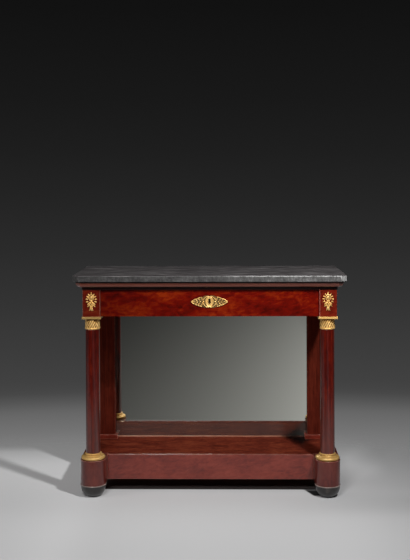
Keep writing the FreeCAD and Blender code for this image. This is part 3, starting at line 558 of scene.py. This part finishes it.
class Shaping(Tree):
    """A Geometry Nodes tree with named inputs that ends in real faces of one material."""

    def __init__(self, name, inputs):
        group = bpy.data.node_groups.new(name, "GeometryNodeTree")
        ends = group.interface
        ends.new_socket("Geometry", in_out="OUTPUT", socket_type="NodeSocketGeometry")
        ends.new_socket("Geometry", in_out="INPUT", socket_type="NodeSocketGeometry")
        for label, kind in inputs.items():
            ends.new_socket(label, in_out="INPUT", socket_type="NodeSocket" + kind)
        ends.new_socket("Material", in_out="INPUT", socket_type="NodeSocketMaterial")
        super().__init__(group)
        self.given = self.node("NodeGroupInput", output="Geometry")

    def realised(self, geometry):
        """Ends the tree in plain faces of its material."""
        real = self.node("GeometryNodeRealizeInstances", None, {"Geometry": geometry})
        painted = self.node("GeometryNodeSetMaterial", None,
                            {"Geometry": real, "Material": self.given.other("Material")})
        self.node("NodeGroupOutput", None, {"Geometry": painted})
        return self.tree


def add_tree(holder, tree, values):
    """Puts a tree on an object and gives its inputs their values."""
    modifier = holder.modifiers.new(tree.name, "NODES")
    modifier.node_group = tree
    for item in tree.interface.items_tree:
        if item.in_out == "INPUT" and item.name in values:
            modifier[item.identifier] = values[item.name]


def shaped(source, tree, values):
    """The plain mesh that a tree makes of a mesh or curve."""
    holder = put_up(tree.name, source)
    add_tree(holder, tree, values)
    graph = bpy.context.evaluated_depsgraph_get()
    result = bpy.data.meshes.new_from_object(holder.evaluated_get(graph))
    bpy.data.objects.remove(holder)
    return result


def leaf_ring_tree():
    """Copies of a leaf, turned evenly about the Z axis."""
    ring = Shaping("leaf_ring", {"Leaves": "Int", "First turn": "Float"})
    leaves = ring.given.other("Leaves")
    points = ring.node("GeometryNodePoints", None, {"Count": leaves})
    index = ring.node("GeometryNodeInputIndex")
    turn = ring.given.other("First turn") + index * (math.tau / leaves)
    rotation = ring.node("ShaderNodeCombineXYZ", None, {"Z": turn})
    copies = ring.node("GeometryNodeInstanceOnPoints", None,
                       {"Points": points, "Instance": ring.given, "Rotation": rotation})
    return ring.realised(copies)


def wreath_tree():
    """Copies of a leaf on one side of an oval wreath, pointing outwards and growing downwards."""
    wreath = Shaping("wreath", {"Leaves": "Int", "First angle": "Float", "Angle step": "Float",
                                "Reach X": "Float", "Reach Z": "Float", "Lean": "Float",
                                "Growth": "Float"})
    given = wreath.given.other
    points = wreath.node("GeometryNodePoints", None, {"Count": given("Leaves")})
    index = wreath.node("GeometryNodeInputIndex")
    angle = given("First angle") + index * given("Angle step")
    across = wreath.reckon("SINE", angle) * given("Reach X")
    up = wreath.reckon("COSINE", angle) * given("Reach Z")
    position = wreath.node("ShaderNodeCombineXYZ", None, {"X": across, "Z": up})
    placed = wreath.node("GeometryNodeSetPosition", None,
                         {"Geometry": points, "Position": position})
    rotation = wreath.node("ShaderNodeCombineXYZ", None, {"Y": angle + given("Lean")})
    size = 1.0 + index * given("Growth")
    scale = wreath.node("ShaderNodeCombineXYZ", None, {"X": size, "Y": 1.0, "Z": size})
    copies = wreath.node("GeometryNodeInstanceOnPoints", None,
                         {"Points": placed, "Instance": wreath.given, "Rotation": rotation,
                          "Scale": scale})
    return wreath.realised(copies)


def band_tree():
    """A half-round band that follows a curve and tapers with the curve's own radius."""
    band = Shaping("band", {"Half width": "Float", "Sides": "Int"})
    profile = band.node("GeometryNodeCurvePrimitiveCircle", {"mode": "RADIUS"},
                        {"Resolution": band.given.other("Sides"),
                         "Radius": band.given.other("Half width")}, "Curve")
    radius = band.node("GeometryNodeInputRadius")
    swept = band.node("GeometryNodeCurveToMesh", None,
                      {"Curve": band.given, "Profile Curve": profile, "Fill Caps": True,
                       "Scale": radius})
    smooth = band.node("GeometryNodeSetShadeSmooth", None, {"Geometry": swept})
    return band.realised(smooth)


# Castings: shells of points and faces gathered into one piece

class Casting:
    """Faces gathered in millimetres round an ornament's own middle, front towards -Y."""

    def __init__(self):
        self.points = []
        self.faces = []
        self.recess = []

    def add(self, points, faces, recess):
        """Takes in a shell; recess says how deep each point lies in the chasing."""
        first = len(self.points)
        self.points += points
        self.faces += [[first + i for i in face] for face in faces]
        self.recess += recess

    def add_at(self, x, z, points, faces, recess):
        """Takes in a shell moved sideways and up."""
        self.add([p + Vector((x, 0.0, z)) for p in points], faces, recess)

    def add_mesh(self, mesh, matrix=Matrix.Identity(4)):
        """Takes in the faces of a mesh; a mirrored matrix turns them round again."""
        layer = mesh.attributes.get("recess")
        recess = [d.value for d in layer.data] if layer else [0.0] * len(mesh.vertices)
        turn = -1 if matrix.determinant() < 0 else 1
        faces = [list(face.vertices)[::turn] for face in mesh.polygons]
        self.add([matrix @ v.co for v in mesh.vertices], faces, recess)

    def mesh(self, name):
        made = bpy.data.meshes.new(name)
        made.from_pydata(self.points, [], self.faces)
        layer = made.attributes.new("recess", "FLOAT", "POINT")
        layer.data.foreach_set("value", self.recess)
        made.polygons.foreach_set("use_smooth", [True] * len(made.polygons))
        made.update()
        return made

    def piece(self, name, finish, middle):
        """The casting as an object in metres, moved to its middle in the frame."""
        made = self.mesh(name)
        made.transform(Matrix.Translation(middle) @ Matrix.Scale(MM, 4))
        made.materials.append(FINISHES[finish])
        return put_up(name, made)


def lone_mesh(name, points, faces, recess):
    """A mesh of one shell alone."""
    casting = Casting()
    casting.add(points, faces, recess)
    return casting.mesh(name)


def shell(surface, along, across, back):
    """A closed shell. surface(s, t) gives its front and recess, back moves a point to its back."""
    points, recess, faces = [], [], []
    for i in range(along + 1):
        for j in range(across + 1):
            point, hollow = surface(i / along, 2 * j / across - 1)
            points.append(Vector(point))
            recess.append(hollow)
    count = len(points)
    points += [Vector(back(p)) for p in points]
    recess += [1.0] * count
    row = across + 1
    for i in range(along):
        for j in range(across):
            a = i * row + j
            quad = (a, a + 1, a + row + 1, a + row)
            faces.append(quad)
            faces.append([count + k for k in reversed(quad)])
    edge = list(range(across))
    edge += [i * row + across for i in range(along)]
    edge += [along * row + j for j in range(across, 0, -1)]
    edge += [i * row for i in range(along, 0, -1)]
    for k, a in enumerate(edge):
        b = edge[(k + 1) % len(edge)]
        faces.append((b, a, count + a, count + b))
    return points, faces, recess


def flat_back(depth):
    """A shell's back on one plane, a little behind the ornament's middle."""
    return lambda p: (p.x, depth, p.z)


def leaf_blade(length, width, rise, lobes):
    """A chased leaf that grows up from the middle: lobed edge, hollow sides, raised midrib."""
    lobe_depth, point = 0.16, 0.02
    def surface(s, t):
        outline = math.sin(math.pi * s ** 0.8) ** 0.75
        lobe = 1.0 - lobe_depth * abs(math.sin(lobes * math.pi * s))
        half = width / 2 * outline * lobe + point
        side = abs(t)
        crown = math.sin(math.pi * min(1.0, 0.15 + 0.85 * s)) ** 0.5
        trough = math.sin(math.pi * side) ** 2
        height = rise * (0.25 + crown * (0.75 * (1 - side ** 2) ** 0.5 - 0.28 * trough))
        return (t * half, -height, s * length), min(1.0, 0.75 * trough + 0.5 * side ** 6)
    return shell(surface, along=14, across=10, back=flat_back(depth=0.3))


def dome(radius_x, radius_z, rise, chasing=0):
    """A low boss, cross-cut with fine grooves where it is chased."""
    groove, twist = 0.5, 9.0
    def surface(s, t):
        turn = math.pi * t
        out = s ** 0.85
        cut = 0.5 - 0.5 * math.cos(chasing * turn + twist * s) if chasing else 0.0
        height = rise * math.cos(out * math.pi / 2) ** 0.6 - groove * cut * math.sin(math.pi * s)
        across, up = radius_x * out * math.cos(turn), radius_z * out * math.sin(turn)
        return (across, -max(height, 0.0), up), 0.6 * cut + 0.3 * s ** 8
    return shell(surface, along=8, across=32, back=flat_back(depth=0.3))


def path(points, widths):
    """A smooth curve through points (x, z, height), with a width factor at each."""
    curve = bpy.data.curves.new("path", "CURVE")
    curve.dimensions = "3D"
    line = curve.splines.new("NURBS")
    line.points.add(len(points) - 1)
    for point, (x, z, height), width in zip(line.points, points, widths):
        point.co = (x, -height, z, 1.0)
        point.radius = width
    line.order_u = 3
    line.use_endpoint_u = True
    line.resolution_u = 8
    return curve


# Gilt mounts

LEAF_RING = leaf_ring_tree()
WREATH = wreath_tree()
BAND = band_tree()
BAND_SIDES = 10
AS_DRAWN = Matrix.Identity(4)
MIRROR_X = Matrix.Diagonal((-1.0, 1.0, 1.0, 1.0))
MIRROR_Z = Matrix.Diagonal((1.0, 1.0, -1.0, 1.0))
BOTH_SIDES = (AS_DRAWN, MIRROR_X)
QUARTERS = (*BOTH_SIDES, MIRROR_Z, MIRROR_X @ MIRROR_Z)


def add_band(casting, points, widths, half_width, copies=(AS_DRAWN,)):
    """A band along points (x, z, height), with its mirrored copies."""
    mesh = shaped(path(points, widths), BAND, {"Half width": half_width, "Sides": BAND_SIDES})
    for matrix in copies:
        casting.add_mesh(mesh, matrix)


def add_leaf(casting, foot, turn, blade, copies):
    """A chased leaf that grows from its foot (x, z), turned to the right, with its copies."""
    mesh = lone_mesh("placed_leaf", *blade)
    place = Matrix.Translation((foot[0], 0.0, foot[1]))
    place = place @ Euler((0.0, turn, 0.0)).to_matrix().to_4x4()
    for matrix in copies:
        casting.add_mesh(mesh, matrix @ place)


def turned(profile, recess):
    """A closed turned shell from (radius, z) pairs, about the Z axis."""
    segments = 72
    points, faces = [], []
    for radius, z in profile:
        for k in range(segments):
            turn = math.tau * k / segments
            points.append(Vector((radius * math.cos(turn), radius * math.sin(turn), z)))
    for i in range(len(profile)):
        for k in range(segments):
            a, b = i * segments + k, i * segments + (k + 1) % segments
            c, d = (b + segments) % len(points), (a + segments) % len(points)
            faces.append((a, b, c, d))
    return points, faces, [recess] * len(points)


def capital_leaf(low, high, radius, half_turn):
    """One broad round-headed leaf of a capital, chased with ribs that climb to the right."""
    ribs, climb, head, thick = 1.5, 2.0, 0.66, 3.5
    def surface(s, t):
        narrow = 1.0 if s < head else math.sqrt(max(0.0, 1 - ((s - head) / (1 - head)) ** 2))
        turn = half_turn * t * narrow * 0.985
        cushion = 0.9 * (1 - t * t) ** 0.5
        rib = 0.5 + 0.5 * math.cos(math.tau * (ribs * turn / half_turn - climb * s))
        out = radius + cushion + 1.5 * (rib - 0.5) - 1.2 * s
        point = (out * math.sin(turn), -out * math.cos(turn), low + (high - low) * s)
        return point, min(1.0, 0.95 * (1 - rib) + 0.4 * abs(t) ** 12)
    def back(p):
        inward = (radius - thick) / math.hypot(p.x, p.y)
        return (p.x * inward, p.y * inward, p.z)
    return shell(surface, along=28, across=28, back=back)


def capital(side, turn, finish):
    """A bell of broad leaves over a half-round ring."""
    node = "capital_" + side
    low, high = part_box(node)
    height = (high.z - low.z) / MM
    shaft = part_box("column_" + side)
    sunk = 9.0
    bore = (shaft[1].x - shaft[0].x) / 2 / MM - sunk
    leaves, leaf_out, ring_high, ring_out, core = 6, 29.0, 8.0, 31.5, 26.0
    casting = Casting()
    half, round_steps = ring_high / 2, 8
    ring = [(bore, 0.0)]
    for k in range(round_steps + 1):
        angle = math.pi * (k / round_steps - 0.5)
        ring.append((ring_out - half + half * math.cos(angle), half + half * math.sin(angle)))
    casting.add(*turned(ring + [(bore, ring_high)], recess=0.0))
    bell = [(bore, ring_high), (core, ring_high), (core, height), (bore, height)]
    casting.add(*turned(bell, recess=1.0))
    blade = capital_leaf(low=ring_high - 1.0, high=height - 3.5, radius=leaf_out,
                         half_turn=math.pi / leaves)
    leaf = lone_mesh("capital_leaf", *blade)
    casting.add_mesh(shaped(leaf, LEAF_RING, {"Leaves": leaves, "First turn": turn}))
    middle = Vector(((low.x + high.x) / 2, (low.y + high.y) / 2, low.z))
    piece = casting.piece("leaf_" + node, finish, middle)
    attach(piece, "table")
    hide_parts(node)


def corner_mount(side):
    """A tied spray: bud under a flame, leaves in a wreath on both sides, tails below the tie."""
    node = "corner_mount_" + side
    low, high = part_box(node)
    casting = Casting()
    wreath_up, flame_up, bud_up, lift = 9.0, 26.0, 15.0, 1.5 * MM
    spray = lone_mesh("spray_leaf", *leaf_blade(length=11.0, width=6.2, rise=3.4, lobes=3))
    wreath = shaped(spray, WREATH, {"Leaves": 5, "First angle": 0.62, "Angle step": 0.47,
                                    "Reach X": 12.5, "Reach Z": 17.0, "Lean": -0.1,
                                    "Growth": 0.03})
    for matrix in BOTH_SIDES:
        casting.add_mesh(wreath, Matrix.Translation((0.0, 0.0, wreath_up)) @ matrix)
    casting.add_at(0.0, flame_up, *leaf_blade(length=14.0, width=4.2, rise=3.2, lobes=0))
    points, faces, recess = dome(7.6, 9.2, rise=4.6, chasing=8)
    casting.add_at(0.0, bud_up, points, faces, [0.45 + 0.5 * r for r in recess])
    add_band(casting, [(0.0, 27.5, 1.4), (7.0, 26.5, 2.2), (10.5, 18.0, 2.2), (8.0, 8.0, 1.6),
                       (3.0, 2.0, 1.2)],
             widths=[0.7, 1.0, 1.1, 1.0, 0.6], half_width=1.7, copies=BOTH_SIDES)
    for x, z, radius in ((0.0, 1.5, 5.0), (5.2, -5.5, 4.8), (-5.2, -5.5, 4.8)):
        casting.add_at(x, z, *dome(radius, radius * 1.1, rise=4.4, chasing=5))
    arm_leaf = leaf_blade(length=13.0, width=5.2, rise=3.2, lobes=2)
    add_leaf(casting, (7.5, -12.5), math.radians(137.0), arm_leaf, BOTH_SIDES)
    for x, copies in ((0.0, (AS_DRAWN,)), (3.4, BOTH_SIDES)):
        add_band(casting, [(x * 2.2, -8.0, 1.8), (x * 1.5, -16.0, 2.2), (x * 0.8, -24.0, 2.2),
                           (x * 0.9 + 0.3, -29.0, 1.8), (x * 1.9 + 1.0, -36.5, 1.2)],
                 widths=[0.8, 1.1, 1.0, 1.0, 0.7], half_width=2.0, copies=copies)
    add_band(casting, [(-6.0, -26.5, 1.4), (-3.0, -26.0, 3.4), (3.0, -26.0, 3.4),
                       (6.0, -26.5, 1.4)], widths=[0.8, 1.0, 1.0, 0.8], half_width=1.5)
    middle = Vector(((low.x + high.x) / 2, high.y, (low.z + high.z) / 2 + lift))
    piece = casting.piece("spray_" + node, "gilt_bronze", middle)
    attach(piece, "table")
    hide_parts(node)


def keyhole_reach(turn, head_z, slot_foot):
    """How far the keyhole's outline lies from its middle in one direction."""
    head, slot, gap, least = 4.3, 3.0, 0.4, 1e-6
    rise = (head_z - slot_foot) / 2
    across, up = math.cos(turn), math.sin(turn)
    inside = head ** 2 - (rise * across) ** 2
    reach = rise * up + math.sqrt(inside) if inside > 0 else 0.0
    wall = slot / max(abs(across), least)
    end = (rise + gap) / max(abs(up), least)
    return max(reach, min(wall, end))


def escutcheon_oval(radius_x, radius_z, head_z, slot_foot):
    """The oval round the keyhole: a dished field inside a raised and cut rim."""
    middle = (head_z + slot_foot) / 2
    cuts, dirty_edge, soot = 26, 0.15, 2.2
    def surface(s, t):
        turn = -math.pi * t
        inner = keyhole_reach(turn, head_z, slot_foot)
        across, up = math.cos(turn), math.sin(turn)
        place_x, place_z = inner * across, middle + inner * up
        place_x += (radius_x * across - place_x) * s
        place_z += (radius_z * up - place_z) * s
        rim = math.exp(-((s - 0.84) / 0.13) ** 2)
        cut = 0.5 + 0.5 * math.cos(cuts * turn)
        height = 0.9 + 1.7 * rim - 0.35 * cut * rim
        # Painted shade: the field's inner edge is black round the keyhole; elsewhere the chasing's
        # hollows.
        dirt = soot if s < dirty_edge else 0.35 * (1 - rim) + 0.5 * cut * rim
        return (place_x, -height, place_z), dirt
    return shell(surface, along=16, across=96, back=flat_back(depth=0.2))


def escutcheon():
    """Chased relief on the pierced plate: an oval round the keyhole between leafy points."""
    low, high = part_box("escutcheon")
    casting = Casting()
    casting.add(*escutcheon_oval(radius_x=16.5, radius_z=22.0, head_z=6.0, slot_foot=-7.0))
    add_band(casting, [(2.0, 22.6, 1.6), (13.0, 21.5, 2.2), (22.0, 12.0, 2.2), (29.0, 3.0, 1.6)],
             widths=[0.8, 1.0, 1.0, 0.7], half_width=1.7, copies=QUARTERS)
    for foot, tip, width, copies in (((27.0, 5.0), (34.0, 20.5), 4.6, QUARTERS),
                                     ((38.0, 3.0), (47.0, 15.5), 4.4, QUARTERS),
                                     ((49.0, 2.0), (58.5, 11.5), 4.0, QUARTERS),
                                     ((56.0, 0.0), (74.0, 0.0), 4.6, BOTH_SIDES)):
        run, climb = tip[0] - foot[0], tip[1] - foot[1]
        blade = leaf_blade(math.hypot(run, climb), width, rise=3.0, lobes=2)
        add_leaf(casting, foot, math.atan2(run, climb), blade, copies)
    add_band(casting, [(30.0, 19.5, 2.0), (38.0, 17.5, 2.8), (46.0, 13.5, 2.8), (54.0, 12.0, 2.8),
                       (63.0, 7.5, 2.6), (73.0, 0.8, 2.2)],
             widths=[0.8, 1.1, 0.9, 1.1, 1.0, 1.1], half_width=1.5, copies=QUARTERS)
    for x, radius in ((23.5, 3.4), (37.0, 2.8), (49.0, 2.4)):
        for side in (x, -x):
            casting.add_at(side, 0.0, *dome(radius, radius, rise=3.0))
    middle = Vector(((low.x + high.x) / 2, low.y, (low.z + high.z) / 2))
    piece = casting.piece("escutcheon_relief", "gilt_bronze", middle)
    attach(piece, "drawer")


# Joinery from the frame

def skin_tree():
    """Joins the loose faces of a node, closer than a seam, into one skin that is shaded smooth."""
    skin = Shaping("skin", {"Seam": "Float"})
    plain = skin.given
    for name in ("custom_normal", "sharp_face", "sharp_edge"):
        plain = skin.node("GeometryNodeRemoveAttribute", None, {"Geometry": plain, "Name": name})
    whole = skin.node("GeometryNodeMergeByDistance", None,
                      {"Geometry": plain, "Distance": skin.given.other("Seam")})
    smooth = skin.node("GeometryNodeSetShadeSmooth", None, {"Geometry": whole})
    return skin.realised(smooth)


def corners_tree():
    """Marks the edges that stay sharp, where faces meet at more than the angle of a corner."""
    corners = Shaping("corners", {"Corner": "Float"})
    angle = corners.node("GeometryNodeInputMeshEdgeAngle", None, None, "Unsigned Angle")
    sharp = corners.node("FunctionNodeCompare",
                         {"data_type": "FLOAT", "operation": "GREATER_THAN"},
                         {"A": angle, "B": corners.given.other("Corner")})
    flat = corners.node("FunctionNodeBooleanMath", {"operation": "NOT"}, {0: sharp})
    smooth = corners.node("GeometryNodeSetShadeSmooth", {"domain": "EDGE"},
                          {"Geometry": corners.given, "Shade Smooth": flat})
    return corners.realised(smooth)


SKIN = skin_tree()
CORNERS = corners_tree()
SEAM = 0.004 * MM
CORNER_ANGLE = math.radians(34.0)
FLAT_ANGLE = math.radians(0.05)

# Width of the eased arrises in millimetres, by slot and by node, and the paler finish that
# paints their highlights, on mahogany together with wear
ARRIS = {"mahogany": 1.2, "marble": 1.6, "pine": 0.8, "gilt_bronze": 0.5, "ebonised_wood": 0.8}
OWN_ARRIS = {**dict.fromkeys(CORNICE + pair("back_post"), 0.3),
             **dict.fromkeys(pair("front_post"), 1.8), "plinth_front_rail": 0.7}
WORN_ARRIS = {"mahogany": "rubbed_mahogany", "marble": "worn_marble",
              "front_post_right": "bare_mahogany"}


def dress(name, slot):
    """A node's finish, with its faces joined and its arrises eased."""
    node = frame["nodes"][name]
    finish = FINISHES[NODE_FINISH.get(name, SLOT_FINISH.get(slot, slot))]
    node.data.materials.clear()
    node.data.materials.append(finish)
    add_tree(node, SKIN, {"Material": finish, "Seam": SEAM})
    if slot in ARRIS:
        planar = node.modifiers.new("planar", "DECIMATE")
        planar.decimate_type = "DISSOLVE"
        planar.angle_limit = FLAT_ANGLE
        arris = node.modifiers.new("arris", "BEVEL")
        arris.width = OWN_ARRIS.get(name, ARRIS[slot]) * MM
        arris.segments = 2
        arris.limit_method = "ANGLE"
        arris.angle_limit = CORNER_ANGLE
        arris.harden_normals = True
        if slot in WORN_ARRIS and name not in CORNICE:
            node.data.materials.append(FINISHES[WORN_ARRIS.get(name, WORN_ARRIS[slot])])
            arris.material = 1
    else:
        add_tree(node, CORNERS, {"Material": finish, "Corner": CORNER_ANGLE})


def dress_frame():
    for part in frame["record"]["subparts"]:
        dress(part["node"], part["material_slot"])


# Studio

def floor_tone(pale, across, deep):
    """The floor's grey, with light and shade painted into it: lighter behind at the left, darker
    to the right and towards the camera, and a painted pool of light past the right back corner.
    """
    far_left, left = (0.625, 0.625, 0.63), (0.665, 0.665, 0.67)
    back_left, middle_left = (0.87, 0.87, 0.875), (0.595, 0.595, 0.60)
    middle_right, far_right = (0.535, 0.535, 0.54), (0.28, 0.28, 0.282)
    lit, dim, dimmer = (0.80, 0.80, 0.805), (0.89, 0.89, 0.89), (0.86, 0.86, 0.86)
    front = pale.mix(pale.step(across, -0.85, -0.50), far_left, left)
    behind = pale.mix(pale.step(deep, -0.35, 0.35), front, back_left)
    middle = pale.mix(pale.step(across, -0.40, 0.45), middle_left, middle_right)
    shade = pale.mix(pale.step(across, -0.58, -0.36), behind, middle)
    shade = pale.mix(pale.step(across, 0.40, 1.30), shade, far_right)
    forward = pale.between(deep, (-0.44, -0.26), (-0.22, -0.06))
    shade = pale.mix(pale.step(across, 0.15, 0.55) * forward, shade, dim, "MULTIPLY")
    shade = pale.mix(1.0 - pale.step(deep, -0.95, -0.40), shade, dimmer, "MULTIPLY")
    beyond = pale.between(across, (0.46, 0.54), (0.58, 0.80)) * pale.step(deep, 0.02, 0.30)
    return pale.mix(beyond * 0.85, shade, lit)


def contact_shadow(pale, across, deep, shade):
    """The floor's tone with the dark under the apron and beside the right front foot."""
    apron_dark, hidden_floor = (0.010, 0.009, 0.009), (0.42, 0.35, 0.34)
    foot_dark = (0.014, 0.014, 0.015)
    inside = 1.0 - pale.step(pale.magnitude(across), 0.435, 0.455)
    under = pale.between(deep, (-0.078, -0.068), (0.10, 0.20)) * inside
    hidden = pale.mix(pale.step(deep, -0.09, 0.06), apron_dark, hidden_floor)
    shade = pale.mix(under, shade, hidden)
    beside_foot = pale.between(deep, (-0.160, -0.145), (-0.10, -0.05))
    beside_foot = beside_foot * pale.step(across + deep * 0.42, 0.350, 0.362)
    beside_foot = beside_foot * (1.0 - pale.step(across, 0.455, 0.475))
    return pale.mix(beside_foot * 0.96, shade, foot_dark)


def mirrored_dusk(pale, across, deep):
    """The floor's glow as the mirror shows it, darker to the left, and its share of the rays."""
    seen = across - deep * (2.0 * PLATE_TURN)
    sideways = pale.node("ShaderNodeMapRange", None,
                         {"Value": seen, "From Min": -1.0, "From Max": 0.7, "To Min": -1.6,
                          "To Max": 1.12})
    fan, backwards, dim = 0.066, 0.19, 1.55
    beside = pale.step(seen, 1.0, 1.6) * 1.8
    level = sideways * (1.0 + deep * fan) + deep * backwards - dim - beside
    dusk = pale.node("ShaderNodeEmission", None, {"Color": math.e ** level})
    aside = pale.magnitude(across)
    near = pale.step(deep, -0.74, -0.62) * (1.0 - pale.step(aside, 0.85, 1.25))
    wide = pale.step(aside + deep * 0.15, 0.62, 0.80) * pale.step(deep, -1.9, -1.1)
    mirrored = pale.node("ShaderNodeLightPath", output="Is Glossy Ray")
    return dusk, mirrored * (1.0 - near) * (1.0 - wide)


def studio_floor():
    """A pale floor that fades into the dark backdrop round the table."""
    half = 9.0
    corners = [(-half, -half, 0.0), (half, -half, 0.0), (half, half, 0.0), (-half, half, 0.0)]
    mesh = bpy.data.meshes.new("studio_floor")
    mesh.from_pydata(corners, [], [(0, 1, 2, 3)])
    floor = put_up("studio_floor", mesh)
    pale = Finish("studio_floor")
    across = pale.coordinate("X")
    deep = across.other("Y")
    shade = contact_shadow(pale, across, deep, floor_tone(pale, across, deep))
    soft = pale.node("ShaderNodeBsdfDiffuse", None, {"Color": shade})
    clear = pale.node("ShaderNodeBsdfTransparent")
    fade = pale.step(deep + pale.magnitude(across) * 0.10, 0.30, 0.95)
    shown = pale.node("ShaderNodeMixShader", None, {0: fade, 1: soft, 2: clear})
    dusk, share = mirrored_dusk(pale, across, deep)
    shown = pale.node("ShaderNodeMixShader", None, {0: share, 1: shown, 2: dusk})
    pale.node("ShaderNodeOutputMaterial", None, {"Surface": shown})
    mesh.materials.append(pale.material)


def studio_world():
    """A dark backdrop, lighter towards the floor."""
    world = bpy.data.worlds.new("studio")
    world.use_nodes = True
    world.node_tree.nodes.clear()
    bpy.context.scene.world = world
    tree = Tree(world.node_tree)
    ray = tree.node("ShaderNodeTexCoord", output="Generated")
    height = tree.node("ShaderNodeSeparateXYZ", None, {"Vector": ray}, "Z")
    levels = ((0.0, 0.36), (0.22, 0.27), (0.235, 0.235), (0.253, 0.175), (0.2715, 0.133),
              (0.281, 0.093), (0.290, 0.062), (0.300, 0.0535), (0.328, 0.0455), (0.377, 0.0335),
              (0.427, 0.0243), (0.477, 0.0178), (0.5275, 0.0128), (0.578, 0.0095), (0.67, 0.0059))
    stops = [(place, toned(level, PLAIN)) for place, level in levels]
    grey = tree.node("ShaderNodeValToRGB", {"stops": stops}, {"Fac": height + 0.5}, "Color")
    back = tree.node("ShaderNodeBackground", None, {"Color": grey})
    tree.node("ShaderNodeOutputWorld", None, {"Surface": back})


def lamp(name, place, target, size, power):
    """A round soft lamp that points at a target."""
    data = bpy.data.lights.new(name, "AREA")
    data.shape = "DISK"
    data.size = size
    data.energy = power
    light = put_up(name, data)
    light.location = place
    light.rotation_euler = (Vector(target) - Vector(place)).to_track_quat("-Z", "Y").to_euler()


def studio_lights():
    """A small key lamp high at the right, a wide fill in front and a faint one at the left."""
    lamp("key", (0.974, -1.52, 2.11), target=(0.0, -0.1, 0.45), size=0.16, power=43.0)
    lamp("fill", (-0.7, -3.4, 2.9), target=(0.0, 0.0, 0.5), size=1.2, power=74.0)
    lamp("side", (-3.2, -1.6, 1.9), target=(0.0, 0.0, 0.4), size=1.2, power=17.0)


def camera():
    """The photograph's view: from well above the slab, nearly level, with the picture shifted."""
    data = bpy.data.cameras.new("camera")
    data.sensor_width = 36.0
    data.lens = 63.745
    data.shift_y = -0.15036
    eye = put_up("camera", data)
    place = (0.0616, -4.1532, 1.2916)
    yaw, pitch, roll = 0.0196, -0.01868, -0.0038
    turn = Matrix.Rotation(yaw, 4, "Z") @ Matrix.Rotation(math.pi / 2 + pitch, 4, "X")
    turn = turn @ Matrix.Rotation(roll, 4, "Z")
    eye.matrix_world = Matrix.Translation(place) @ turn
    bpy.context.scene.camera = eye


make_finishes()
dress_frame()
capital("left", 0.0, "shaded_gilding")
capital("right", 0.10, "gilt_bronze")
corner_mount("left")
corner_mount("right")
escutcheon()
studio_floor()
studio_world()
studio_lights()
camera()
bpy.context.scene.view_settings.view_transform = "Standard"
